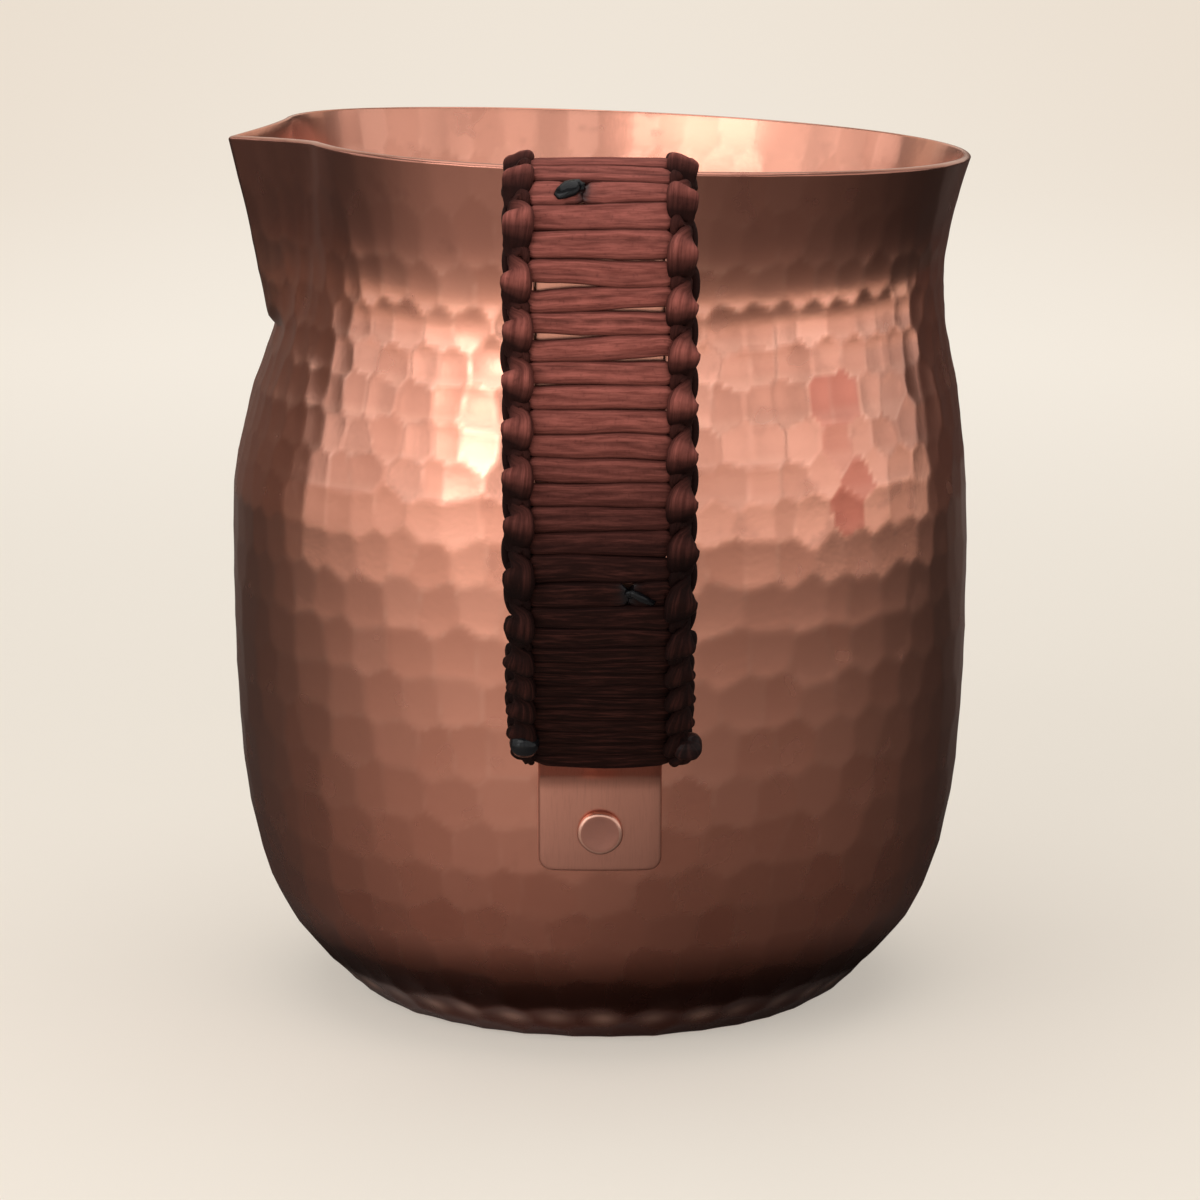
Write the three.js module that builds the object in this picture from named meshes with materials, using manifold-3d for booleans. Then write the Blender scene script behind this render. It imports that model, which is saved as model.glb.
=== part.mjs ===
// A hand-raised copper jug with a pinched pouring spout and a riveted strap handle.
// The strap is laced from end to end with two cords tied in flat square knots.
//
// Lengths are in millimetres and angles in degrees. +Z is up, the origin is the centre of the
// base where it stands, the handle is toward -Y and the spout toward -X.

import * as THREE from "three";
import { mergeVertices } from "three/addons/utils/BufferGeometryUtils.js";
import Module from "manifold-3d";

const wasm = await Module();
wasm.setup();

// Jug body
const rimHeight = 148.4;
const wall = 1.3;
const baseRadius = 40.5;
const footRadius = 48.2;
const footHeight = 6;
const footSlope = 44.5;
const bellyRadius = 64.1;
const bellyHeight = 77;
const neckDrawnIn = 4.6;
const neckRadius = bellyRadius - neckDrawnIn;
const neckHeight = 124.5;
const rimFlare = 4.3;
const rimRadius = neckRadius + rimFlare;
const flareSlope = 16;

// Fullness of the wall's curves, as shares of the height of its bowl, shoulder and flare
const footFullness = 0.215;
const bellyFullness = 0.71;
const shoulderFullness = 0.64;
const neckFullness = 0.28;
const flareFullness = 0.33;

// Spout, pinched in from both sides of the rim
const spoutTurn = 188.85;
const pinchDepth = 9.9;
const pinchHalfAngle = 58;
const pinchStart = 90;
const crestRise = 10.1;
const crestHalfAngle = 26.5;
const throatHalfAngle = 12;
const throatHeight = 118;
const rimTilt = 2.4;
const spoutDip = 1.3;

// How the spout grows toward the rim, as powers: below 1 it opens early, above 1 late
const pinchGrowth = 1.3;
const crestWidening = 0.5;
const crestGrowth = 0.55;
const crestSharpness = 1.6;
const rimLiftGrowth = 1.5;

// Handle strap
const strapWidth = 20;
const strapThickness = 1.9;
const tabCornerRadius = 2.2;
const lowerTabEnd = 35;
const lowerTabRoot = 51;
const gripStandOff = 39.6;
const gripReach = bellyRadius + gripStandOff;
const lowerRise = 41.5;
const elbowRadius = 21;
const crownRadius = 13;
const crownAboveRim = 1.8;
const crownHeight = rimHeight + crownAboveRim;
const rampFall = 30;
const upperTabBelowRim = 37.4;
const upperTabEnd = rimHeight - upperTabBelowRim;
const tabBendRadius = 5;
const tabLift = 4;

// Rivets
const rivetHeadRadius = 3.65;
const rivetHeadHeight = 0.9;
const rivetEdgeHeight = 0.5;
const rivetFaceRadius = 3;
const rivetShankRadius = 1.9;
const rivetSeatRound = 34;
const lowerRivetInset = 7;
const lowerRivetHeight = lowerTabEnd + lowerRivetInset;
const upperRivetInset = 10.5;
const upperRivetHeight = upperTabEnd + upperRivetInset;

// Lacing: widths and thicknesses of the cords where they lie flat and where they squeeze past
const cordPitch = 3.6;
const frontBarWidth = 3.2;
const backBarWidth = 2.7;
const barThickness = 1.8;
const squeezedWidth = 2;
const squeezedThickness = 1.4;
const shoulderWidth = 1.9;
const armWidth = 1.8;
const legWidth = 3.3;
const legThickness = 1.6;
const lacingFromWall = 3.6;
const meltedBead = 1.75;

// Layers of the lacing out from the strap's middle, and half lengths of its turns
const turnLayer = -0.6;
const legLayer = 3.15;
const turnHalf = 2.2;
const shoulderHalf = 2.45;
const barInset = 2;

// Where the front cord's three lengths meet: how many bars from the nearer end of the lacing,
// and where across the strap
const lowerJoinBar = 12;
const lowerJoinPlace = 4.2;
const upperJoinBar = 9;
const upperJoinPlace = -2.6;

// Clearances
const seatGap = 0.3;
const shankGap = 0.3;
const cordGap = 0.34;
const selfGap = 0.45;
const legGap = 0.65;
const crossGap = 0.7;

const copper = new THREE.MeshStandardMaterial({ color: 0xb47a60, roughness: 0.34, metalness: 1 });
const rivetCopper = new THREE.MeshStandardMaterial({ color: 0xc08468, roughness: 0.3, metalness: 1 });
const waxedCord = new THREE.MeshStandardMaterial({ color: 0x5d332e, roughness: 0.78, metalness: 0 });

const radians = THREE.MathUtils.degToRad;
const share = (value, from, to) => THREE.MathUtils.clamp((value - from) / (to - from), 0, 1);

// Vertices and triangles as a geometry, and as a solid for cutting

function meshGeometry(vertices, triangles) {
  const geometry = new THREE.BufferGeometry();
  geometry.setAttribute("position", new THREE.Float32BufferAttribute(vertices, 3));
  geometry.setIndex(triangles);
  return geometry;
}

function bareGeometry(geometry) {
  geometry.deleteAttribute("normal");
  geometry.deleteAttribute("uv");
  return mergeVertices(geometry, 1e-4);
}

function solidOf(geometry) {
  return new wasm.Manifold(new wasm.Mesh({
    numProp: 3,
    vertProperties: new Float32Array(geometry.attributes.position.array),
    triVerts: new Uint32Array(geometry.index.array),
  }));
}

function geometryOf(solid) {
  const mesh = solid.getMesh();
  return meshGeometry(Array.from(mesh.vertProperties), Array.from(mesh.triVerts));
}

// Skin over a list of closed rings with equally many points, with a flat cap at each end.
// The rings run counter-clockwise as seen from ahead, and fold in half from point 0.

function skinRings(rings) {
  const vertices = rings.flat().flatMap((point) => [point.x, point.y, point.z]);
  const size = rings[0].length;
  const triangles = [];
  for (let row = 0; row + 1 < rings.length; row++) {
    for (let i = 0; i < size; i++) {
      const next = (i + 1) % size;
      const near = row * size;
      const far = near + size;
      triangles.push(near + i, near + next, far + next);
      triangles.push(near + i, far + next, far + i);
    }
  }
  const last = (rings.length - 1) * size;
  for (let i = 0; i + 1 < size / 2; i++) {
    const across = size - 1 - i;
    triangles.push(i, across, i + 1, i + 1, across, across - 1);
    triangles.push(last + i, last + i + 1, last + across);
    triangles.push(last + i + 1, last + across - 1, last + across);
  }
  return meshGeometry(vertices, triangles);
}

// Outer wall of the body, as a radius and height profile from the foot to the rim

function wallProfile() {
  const bowlHeight = bellyHeight - footHeight;
  const shoulderHeight = neckHeight - bellyHeight;
  const flareHeight = rimHeight - neckHeight;
  const slope = radians(footSlope);
  const flare = radians(flareSlope);
  const bowlStart = footFullness * bowlHeight;
  const flareEnd = flareFullness * flareHeight;
  const profile = new THREE.Path();
  profile.moveTo(baseRadius, 0);
  profile.quadraticCurveTo(footRadius - footHeight / Math.tan(slope), 0, footRadius, footHeight);
  profile.bezierCurveTo(
    footRadius + bowlStart * Math.cos(slope), footHeight + bowlStart * Math.sin(slope),
    bellyRadius, bellyHeight - bellyFullness * bowlHeight,
    bellyRadius, bellyHeight,
  );
  profile.bezierCurveTo(
    bellyRadius, bellyHeight + shoulderFullness * shoulderHeight,
    neckRadius, neckHeight - neckFullness * shoulderHeight,
    neckRadius, neckHeight,
  );
  profile.bezierCurveTo(
    neckRadius, neckHeight + flareFullness * flareHeight,
    rimRadius - flareEnd * Math.sin(flare), rimHeight - flareEnd * Math.cos(flare),
    rimRadius, rimHeight,
  );
  return profile;
}

const profile = wallProfile();

// Rows along the profile's four parts, as many as counts says, each with the outward normal

function profileRows(counts) {
  const rows = [];
  profile.curves.forEach((curve, index) => {
    for (let i = index ? 1 : 0; i <= counts[index]; i++) {
      const t = i / counts[index];
      const point = curve.getPoint(t);
      const along = curve.getTangent(t);
      rows.push({ radius: point.x, height: point.y, normal: new THREE.Vector2(along.y, -along.x) });
    }
  });
  return rows;
}

const fineRows = profileRows([40, 120, 80, 60]);

// The wall's radius and outward slope at a height, away from the spout

function wallAt(height) {
  const above = Math.max(1, fineRows.findIndex((row) => row.height >= height));
  const low = fineRows[above - 1];
  const high = fineRows[above];
  const t = share(height, low.height, high.height);
  return {
    radius: THREE.MathUtils.lerp(low.radius, high.radius, t),
    normal: low.normal.clone().lerp(high.normal, t).normalize(),
  };
}

// The spout: the rim's flanks are pinched in while a crest between them keeps its reach

function offSpout(turn) {
  return Math.abs(THREE.MathUtils.euclideanModulo(turn - spoutTurn + 180, 360) - 180);
}

function spoutShift(turn, height) {
  const off = offSpout(turn);
  const pinch = pinchDepth * share(height, pinchStart, rimHeight) ** pinchGrowth;
  const flank = 0.5 + 0.5 * Math.cos(Math.PI * Math.min(1, off / pinchHalfAngle));
  const opened = share(height, throatHeight, rimHeight);
  const crestAngle = THREE.MathUtils.lerp(throatHalfAngle, crestHalfAngle, opened ** crestWidening);
  const crestShape = Math.max(0, 1 - off / crestAngle) ** crestSharpness;
  return crestRise * opened ** crestGrowth * crestShape - pinch * flank;
}

// The rim rises toward the spout, and dips a little at its very tip

function rimLift(turn, height) {
  const dip = spoutDip * Math.max(0, 1 - offSpout(turn) / crestHalfAngle);
  const tilt = -rimTilt * Math.cos(radians(turn));
  return (tilt - dip) * share(height, neckHeight, rimHeight) ** rimLiftGrowth;
}

function wallPoint(radius, height, turn) {
  const reach = radius + spoutShift(turn, height);
  const angle = radians(turn);
  return [reach * Math.cos(angle), reach * Math.sin(angle), height + rimLift(turn, height)];
}

// The body as one wall, out from the base's centre, over the lip and back in to the floor

function bodyShell() {
  const columns = 60;
  const outer = profileRows([2, 8, 6, 7]);
  const inner = profileRows([1, 7, 5, 6]).reverse();
  const rim = outer.at(-1);
  const rings = outer.map((row) => [row.radius, row.height]);
  rings.push([rim.radius - wall / 2, rim.height + wall / 3]);
  for (const row of inner) {
    rings.push([row.radius - wall * row.normal.x, row.height - wall * row.normal.y]);
  }
  const vertices = [];
  for (const [radius, height] of rings) {
    for (let column = 0; column < columns; column++) {
      vertices.push(...wallPoint(radius, height, spoutTurn + (360 * column) / columns));
    }
  }
  const under = rings.length * columns;
  const inside = under + 1;
  vertices.push(0, 0, 0, 0, 0, wall);
  const triangles = [];
  for (let row = 0; row + 1 < rings.length; row++) {
    for (let column = 0; column < columns; column++) {
      const next = (column + 1) % columns;
      const low = row * columns;
      const high = low + columns;
      triangles.push(low + column, low + next, high + next);
      triangles.push(low + column, high + next, high + column);
    }
  }
  const last = (rings.length - 1) * columns;
  for (let column = 0; column < columns; column++) {
    const next = (column + 1) % columns;
    triangles.push(under, next, column);
    triangles.push(inside, last + column, last + next);
  }
  return meshGeometry(vertices, triangles);
}

// Centre line of the strap: distance in front of the jug's axis, and height

const seat = seatGap + strapThickness / 2;

function tabPoints(from, to) {
  const points = [];
  const steps = 5;
  for (let i = 0; i <= steps; i++) {
    const height = THREE.MathUtils.lerp(from, to, i / steps);
    points.push({ at: new THREE.Vector2(wallAt(height).radius + seat, height), bend: 0 });
  }
  return points;
}

function strapCorners() {
  const lowerTab = tabPoints(lowerTabEnd, lowerTabRoot);
  const root = lowerTab.at(-1);
  root.bend = tabBendRadius;
  const elbowHeight = root.at.y + (gripReach - root.at.x) * Math.tan(radians(lowerRise));
  const fall = radians(rampFall);
  const rampStep = 0.05;
  const cornerHeight = crownHeight - crownRadius + crownRadius / Math.tan(radians(45) - fall / 2);
  const toNeck = new THREE.Vector2(-Math.cos(fall), -Math.sin(fall));
  let rampEnd = new THREE.Vector2(gripReach, cornerHeight);
  while (rampEnd.x > wallAt(Math.min(rampEnd.y, rimHeight)).radius + seat) {
    rampEnd = rampEnd.clone().addScaledVector(toNeck, rampStep);
  }
  const upperTab = tabPoints(rampEnd.y, upperTabEnd);
  upperTab[0].bend = tabBendRadius;
  return [
    ...lowerTab,
    { at: new THREE.Vector2(gripReach, elbowHeight), bend: elbowRadius },
    { at: new THREE.Vector2(gripReach, cornerHeight), bend: crownRadius },
    ...upperTab,
  ];
}

// A path through the corners, each rounded to its bend radius where it has one

function roundedPath(corners) {
  const path = new THREE.Path();
  path.moveTo(corners[0].at.x, corners[0].at.y);
  for (let i = 1; i + 1 < corners.length; i++) {
    const { at, bend } = corners[i];
    const back = corners[i - 1].at.clone().sub(at).normalize();
    const ahead = corners[i + 1].at.clone().sub(at).normalize();
    const half = back.angleTo(ahead) / 2;
    if (!bend) {
      path.lineTo(at.x, at.y);
      continue;
    }
    const start = at.clone().addScaledVector(back, bend / Math.tan(half));
    const inward = back.clone().add(ahead).normalize();
    const centre = at.clone().addScaledVector(inward, bend / Math.sin(half));
    const end = at.clone().addScaledVector(ahead, bend / Math.tan(half));
    const from = start.clone().sub(centre).angle();
    const to = end.clone().sub(centre).angle();
    const clockwise = back.cross(ahead) > 0;
    path.lineTo(start.x, start.y);
    path.absarc(centre.x, centre.y, bend, from, to, clockwise);
  }
  const last = corners.at(-1).at;
  path.lineTo(last.x, last.y);
  return path;
}

const strapLine = roundedPath(strapCorners());
const strapLength = strapLine.getLength();

function lineAt(along) {
  const t = THREE.MathUtils.clamp(along / strapLength, 0, 1);
  const point = strapLine.getPoint(t);
  const before = strapLine.getPoint(Math.max(0, t - 1e-4));
  const after = strapLine.getPoint(Math.min(1, t + 1e-4));
  const tangent = after.sub(before).normalize();
  return { point, tangent, normal: new THREE.Vector2(tangent.y, -tangent.x) };
}

// How sharply the strap bends, as one over the bend's radius

function bendAt(along) {
  const step = 1.5;
  const before = lineAt(along - step).tangent;
  const after = lineAt(along + step).tangent;
  return Math.asin(THREE.MathUtils.clamp(before.cross(after), -1, 1)) / (2 * step);
}

// A point given along the strap, across it to the right, and out from its middle layer

function strapPoint(along, across, out) {
  const { point, normal } = lineAt(along);
  return new THREE.Vector3(
    across,
    -(point.x + out * normal.x),
    point.y + out * normal.y,
  );
}

// The strap: flat where it stands free, curved to the jug's round where its tabs lie on the wall

function strapStations() {
  const bendStep = radians(8);
  const leastStep = 0.12;
  const rounding = [0, 0.08, 0.3, 0.65, 1].map((t) => t * tabCornerRadius);
  const stations = [...rounding, ...rounding.map((distance) => strapLength - distance)];
  let covered = 0;
  for (const curve of strapLine.curves) {
    const length = curve.getLength();
    const turn = curve.getTangentAt(0).angleTo(curve.getTangentAt(1));
    const steps = Math.max(1, Math.round(turn / bendStep));
    for (let i = 0; i < steps; i++) stations.push(covered + (length * i) / steps);
    covered += length;
  }
  stations.sort((a, b) => a - b);
  return stations.filter((along, i) => i === 0 || along - stations[i - 1] > leastStep);
}

function strapSection(along) {
  const { point, normal } = lineAt(along);
  const fromEnd = Math.min(along, strapLength - along);
  const corner = Math.min(fromEnd, tabCornerRadius);
  const trimmed = tabCornerRadius - Math.sqrt(tabCornerRadius ** 2 - (tabCornerRadius - corner) ** 2);
  const half = strapWidth / 2 - trimmed;
  const onWall = share(point.x - wallAt(point.y).radius, seat + tabLift, seat);
  const spans = 4;
  const side = (out, sense) => Array.from({ length: spans + 1 }, (_, i) => {
    const across = sense * THREE.MathUtils.lerp(-half, half, i / spans);
    const reach = point.x + out * normal.x;
    const round = onWall * (reach - Math.sqrt(reach ** 2 - across ** 2));
    return new THREE.Vector3(across, -(reach - round), point.y + out * normal.y);
  });
  return [...side(strapThickness / 2, 1), ...side(-strapThickness / 2, -1)];
}

// Rivets through strap and wall, square to the wall, with a low head on each side

function rivetPlace(height) {
  const { radius, normal } = wallAt(height);
  const origin = new THREE.Vector3(0, -radius, height);
  const outward = new THREE.Vector3(0, -normal.x, normal.y);
  const turn = new THREE.Quaternion().setFromUnitVectors(new THREE.Vector3(0, 1, 0), outward);
  return new THREE.Matrix4().compose(origin, turn, new THREE.Vector3(1, 1, 1));
}

function turned(outline, height) {
  const sides = 20;
  const points = outline.map(([radius, out]) => new THREE.Vector2(radius, out));
  return bareGeometry(new THREE.LatheGeometry(points, sides)).applyMatrix4(rivetPlace(height));
}

function rivetHead(from, sense) {
  const standOff = seatGap + rivetHeadRadius ** 2 / (2 * rivetSeatRound);
  const low = from + sense * standOff;
  const top = low + sense * rivetHeadHeight;
  return [
    [rivetShankRadius, low],
    [rivetHeadRadius, low],
    [rivetHeadRadius, low + sense * rivetEdgeHeight],
    [rivetFaceRadius, top],
    [0, top],
  ];
}

function rivetSolid(height) {
  const strapFace = seatGap + strapThickness;
  const outside = rivetHead(strapFace, 1);
  const inside = rivetHead(-wall, -1).reverse();
  return turned([...inside, ...outside], height);
}

// The hole runs well past the wall, the strap and the gap between them

function rivetHole(height) {
  const radius = rivetShankRadius + shankGap;
  const reach = 4 * (wall + strapThickness);
  return solidOf(turned([[0, -reach], [radius, -reach], [radius, reach], [0, reach]], height));
}

function drilled(geometry, heights) {
  let solid = solidOf(geometry);
  for (const height of heights) solid = solid.subtract(rivetHole(height));
  return geometryOf(solid);
}

// Lacing. A station of a cord is a place on the strap (along, across, out), the way its flat
// side faces (across, out), and its half width and half thickness there.

const strapFace = strapThickness / 2;
const strapEdge = strapWidth / 2;
const barLayer = strapFace + cordGap + barThickness / 2;
const innerLeg = strapEdge + cordGap + squeezedThickness / 2;
const outerLeg = innerLeg + squeezedThickness + legGap;
const turnReach = outerLeg + squeezedThickness + cordGap;
const crossLayer = barLayer + barThickness / 2 + crossGap + squeezedThickness / 2;
const barReach = strapEdge - barInset;

// The lacing covers the strap from one wall to the other

function lacingReach() {
  const clearOfWall = (along) => {
    const under = strapPoint(along, 0, -crossLayer - squeezedThickness / 2);
    const over = strapPoint(along, 0, legLayer + legThickness / 2);
    const gap = (point) => -point.y - wallAt(THREE.MathUtils.clamp(point.z, 1, rimHeight)).radius;
    return Math.min(gap(under), gap(over));
  };
  const step = 0.1;
  let low = strapLength / 2;
  let high = strapLength / 2;
  while (clearOfWall(low) > lacingFromWall) low -= step;
  while (clearOfWall(high) > lacingFromWall) high += step;
  return [low, high];
}

const [lacingLow, lacingHigh] = lacingReach();
const bars = 2 * Math.floor((lacingHigh - lacingLow) / cordPitch / 2);
const pitch = (lacingHigh - lacingLow) / bars;

const barAlong = (bar) => lacingHigh - (bar + 0.5) * pitch;
const edgeAlong = (bar) => barAlong(bar) - pitch / 2;
const arriveSide = (bar) => ((bars - 1 - bar) % 2 === 0 ? -1 : 1);

function barHalfWidth(width, along, out) {
  const spread = 1 + out * bendAt(along);
  return Math.min(width, pitch * spread - selfGap) / 2;
}

const station = (along, across, out, facing, width, thickness) => ({
  along, across, out, facing, width, thickness,
});

// The front cord runs over the strap bar by bar and turns back round the legs at each edge

function frontBar(bar, from, to) {
  const along = barAlong(bar);
  const width = barHalfWidth(frontBarWidth, along, barLayer);
  return [from, to].map((across) => (
    station(along, across, barLayer, [0, 1], width, barThickness / 2)
  ));
}

function frontTurn(bar) {
  const side = arriveSide(bar);
  const middle = edgeAlong(bar);
  const thickness = squeezedThickness / 2;
  const shoulder = (shift) => station(
    middle + shift, side * (strapEdge + 0.5), barLayer, [0.3 * side, 1], shoulderWidth / 2, thickness,
  );
  const turn = (shift) => (
    station(middle + shift, side * turnReach, turnLayer, [side, 0.3], armWidth / 2, thickness)
  );
  return [shoulder(shoulderHalf), turn(turnHalf), turn(-turnHalf), shoulder(-shoulderHalf)];
}

function frontCordStations(first, last) {
  const route = [];
  for (let bar = first.bar; bar <= last.bar; bar++) {
    const side = arriveSide(bar);
    const from = bar === first.bar ? first.across : -side * barReach;
    const to = bar === last.bar ? last.across : side * barReach;
    route.push(...frontBar(bar, from, to));
    if (bar < last.bar) route.push(...frontTurn(bar));
  }
  return route;
}

// A cut end melted to a bead, as slices along it with their size, in shares of its radius

function bead(along, across, out) {
  const slices = [[0.9, 0.5], [0.4, 0.94], [-0.4, 0.94], [-0.9, 0.5]];
  return slices.map(([shift, size]) => (
    station(along + shift * meltedBead, across, out, [0, 1], size * meltedBead, size * meltedBead)
  ));
}

// The front cord starts beside the strap's edge and ends in a bead below the last bar

function frontCordStart() {
  const [, , low, shoulder] = frontTurn(-1);
  return [{ ...low, along: low.along + squeezedWidth }, low, shoulder];
}

function frontCordEnd() {
  const side = arriveSide(bars - 1);
  const [shoulder, high] = frontTurn(bars - 1);
  return [shoulder, high, ...bead(lacingLow - 1.5, side * (outerLeg + 0.6), 0.7)];
}

// The back cord dives inside the leg that it has just laid, runs behind the strap, crosses under
// itself at the far edge and comes up there. It then lies along the edge over the front cord's
// turn, as the leg of two bars.

function backBar(bar) {
  const side = arriveSide(bar);
  const along = barAlong(bar);
  const below = edgeAlong(bar);
  const above = below + pitch;
  const width = barHalfWidth(backBarWidth, along, -barLayer);
  const squeezed = squeezedWidth / 2;
  const flat = squeezedThickness / 2;
  return [
    station(below + 0.95, side * (innerLeg + 0.55), legLayer + 0.1, [0.4 * side, 1], squeezed, flat),
    station(below + 0.15, side * innerLeg, 2.1, [side, 0], squeezed, flat),
    station(below, side * (innerLeg - 0.05), -strapFace - 0.7, [side, -0.4], squeezed, flat),
    station(below + 0.2 * pitch, side * (strapEdge - 0.8), -barLayer - 0.2, [0, -1], squeezed, flat),
    station(along, side * 0.55 * strapEdge, -barLayer, [0, -1], width, barThickness / 2),
    station(along, -side * 0.42 * strapEdge, -barLayer, [0, -1], width, barThickness / 2),
    station(along + 0.1 * pitch, -side * 0.7 * strapEdge, -crossLayer + 0.4, [0, -1], squeezed, flat),
    station(above - 0.08 * pitch, -side * (strapEdge - 0.2), -crossLayer, [0, -1], squeezed, flat),
    station(above, -side * (outerLeg - 0.8), -crossLayer + 0.8, [-side, -1], squeezed, flat),
    station(above, -side * outerLeg, -strapFace - 0.4, [-side, 0], squeezed, flat),
    station(above - 0.05, -side * outerLeg, 1.5, [-side, 0], squeezed, flat),
  ];
}

function backLeg(bar) {
  const side = -arriveSide(bar);
  const middle = edgeAlong(bar);
  const leg = (shift) => (
    station(middle + shift, side * outerLeg, legLayer, [0.3 * side, 1], legWidth / 2, legThickness / 2)
  );
  return [leg(1.8), leg(-1.7)];
}

function backCordStations() {
  const route = backLeg(-1);
  for (let bar = 0; bar < bars; bar++) {
    route.push(...backBar(bar));
    if (bar + 1 < bars) route.push(...backLeg(bar));
  }
  const [overBar] = backLeg(bars - 1);
  route.push(overBar, ...bead(lacingLow - 1.6, overBar.across, 2.1));
  return route;
}

// A cord as one unbroken six-sided tube through its stations

function cordRings(route) {
  const places = route.map(({ along, across, out }) => strapPoint(along, across, out));
  return route.map(({ along, facing, width, thickness }, i) => {
    const before = places[Math.max(0, i - 1)];
    const after = places[Math.min(places.length - 1, i + 1)];
    const ahead = after.clone().sub(before).normalize();
    const { normal } = lineAt(along);
    const flat = new THREE.Vector3(facing[0], -facing[1] * normal.x, facing[1] * normal.y);
    const wide = new THREE.Vector3().crossVectors(ahead, flat).normalize();
    flat.crossVectors(wide, ahead);
    const sides = 6;
    return Array.from({ length: sides }, (_, corner) => {
      const angle = (2 * Math.PI * corner) / sides;
      const deep = thickness / Math.sin(Math.PI / 3);
      return places[i].clone()
        .addScaledVector(wide, -width * Math.cos(angle))
        .addScaledVector(flat, deep * Math.sin(angle));
    });
  });
}

const joinShort = 0.5 * selfGap;

function joinEnds(bar, place) {
  const heading = arriveSide(bar);
  return {
    stop: { bar, across: place - heading * joinShort },
    start: { bar, across: place + heading * joinShort },
  };
}

const upperEnds = joinEnds(upperJoinBar, upperJoinPlace);
const lowerEnds = joinEnds(bars - 1 - lowerJoinBar, lowerJoinPlace);
const frontStart = { bar: 0, across: -arriveSide(0) * barReach };
const frontStop = { bar: bars - 1, across: arriveSide(bars - 1) * barReach };

const group = new THREE.Group();
group.name = "copper_jug";

function add(name, geometry, material) {
  const mesh = new THREE.Mesh(geometry, material);
  mesh.name = name;
  group.add(mesh);
}

// The least distance from a cord's surface to its own surface further along, on points spread
// over its skin. Rings less than a stretch apart along the cord are one piece of it, and rings
// further apart in space than reach can't be the nearest.

function gapToItself(rings) {
  const stretch = 3;
  const reach = 6;
  const spread = rings.flatMap((ring, row) => {
    const next = rings[row + 1] ?? ring;
    return [0, 0.33, 0.67].map((t) => ({
      place: row + t,
      points: ring.map((point, i) => point.clone().lerp(next[i], t)),
    }));
  });
  const middles = spread.map(({ points }) => (
    points.reduce((sum, point) => sum.add(point), new THREE.Vector3()).divideScalar(points.length)
  ));
  let least = Infinity;
  for (let a = 0; a < spread.length; a++) {
    for (let b = a + 1; b < spread.length; b++) {
      if (spread[b].place - spread[a].place < stretch) continue;
      if (middles[a].distanceTo(middles[b]) > reach) continue;
      for (const one of spread[a].points) {
        for (const other of spread[b].points) least = Math.min(least, one.distanceTo(other));
      }
    }
  }
  return least;
}

const rivetHeights = [lowerRivetHeight, upperRivetHeight];
add("body", drilled(bodyShell(), rivetHeights), copper);
add("handle_strap", drilled(skinRings(strapStations().map(strapSection)), rivetHeights), copper);
add("lower_rivet", rivetSolid(lowerRivetHeight), rivetCopper);
add("upper_rivet", rivetSolid(upperRivetHeight), rivetCopper);

const cords = {
  front_cord_upper: [...frontCordStart(), ...frontCordStations(frontStart, upperEnds.stop)],
  front_cord_middle: frontCordStations(upperEnds.start, lowerEnds.stop),
  front_cord_lower: [...frontCordStations(lowerEnds.start, frontStop), ...frontCordEnd()],
  back_cord: backCordStations(),
};
console.log(`lacing: ${bars} bars at ${pitch.toFixed(2)} mm, ${bars / 2} loops to a cord`);
for (const [name, route] of Object.entries(cords)) {
  const rings = cordRings(route);
  add(name, skinRings(rings), waxedCord);
  console.log(`${name}: least gap to itself ${gapToItself(rings).toFixed(2)} mm`);
}

export default group;
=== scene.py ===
import math

import bmesh
import bpy
import numpy as np
from bpy.props import FloatProperty, FloatVectorProperty, IntProperty, PointerProperty
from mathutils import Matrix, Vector


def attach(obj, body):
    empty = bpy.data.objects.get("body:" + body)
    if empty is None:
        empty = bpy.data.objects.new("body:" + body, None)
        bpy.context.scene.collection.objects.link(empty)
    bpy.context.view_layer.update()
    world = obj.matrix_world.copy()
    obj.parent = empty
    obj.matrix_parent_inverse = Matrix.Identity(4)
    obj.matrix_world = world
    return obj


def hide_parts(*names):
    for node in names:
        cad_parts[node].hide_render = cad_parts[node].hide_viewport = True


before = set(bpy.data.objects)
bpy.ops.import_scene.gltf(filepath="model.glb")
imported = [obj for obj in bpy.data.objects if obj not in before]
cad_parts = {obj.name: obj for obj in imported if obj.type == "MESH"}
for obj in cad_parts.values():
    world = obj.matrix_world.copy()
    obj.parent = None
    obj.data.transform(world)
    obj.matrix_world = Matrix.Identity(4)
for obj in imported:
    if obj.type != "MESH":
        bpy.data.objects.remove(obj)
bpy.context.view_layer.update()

bl_info = {
    "name": "Laced copper jug",
    "version": (1, 0, 0),
    "blender": (4, 5, 0),
    "location": "3D View > Sidebar > Copper jug",
    "description": "Hammered copper jug with a pinched spout and a cord-laced strap handle",
    "category": "Add Mesh",
}

# The jug is worked out in millimetres and turned into metres when a mesh is made. Places of lamps
# and of the camera are in metres.
MM = 0.001

# The jug body's measures, as the CAD part has them
RIM_HEIGHT = 148.4
WALL = 1.3
BASE_RADIUS = 40.5
FOOT_RADIUS = 48.2
FOOT_HEIGHT = 6.0
FOOT_SLOPE = 44.5
BELLY_RADIUS = 64.1
BELLY_HEIGHT = 77.0
NECK_RADIUS = 59.5
NECK_HEIGHT = 124.5
RIM_RADIUS = 63.8
FLARE_SLOPE = 16.0

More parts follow.
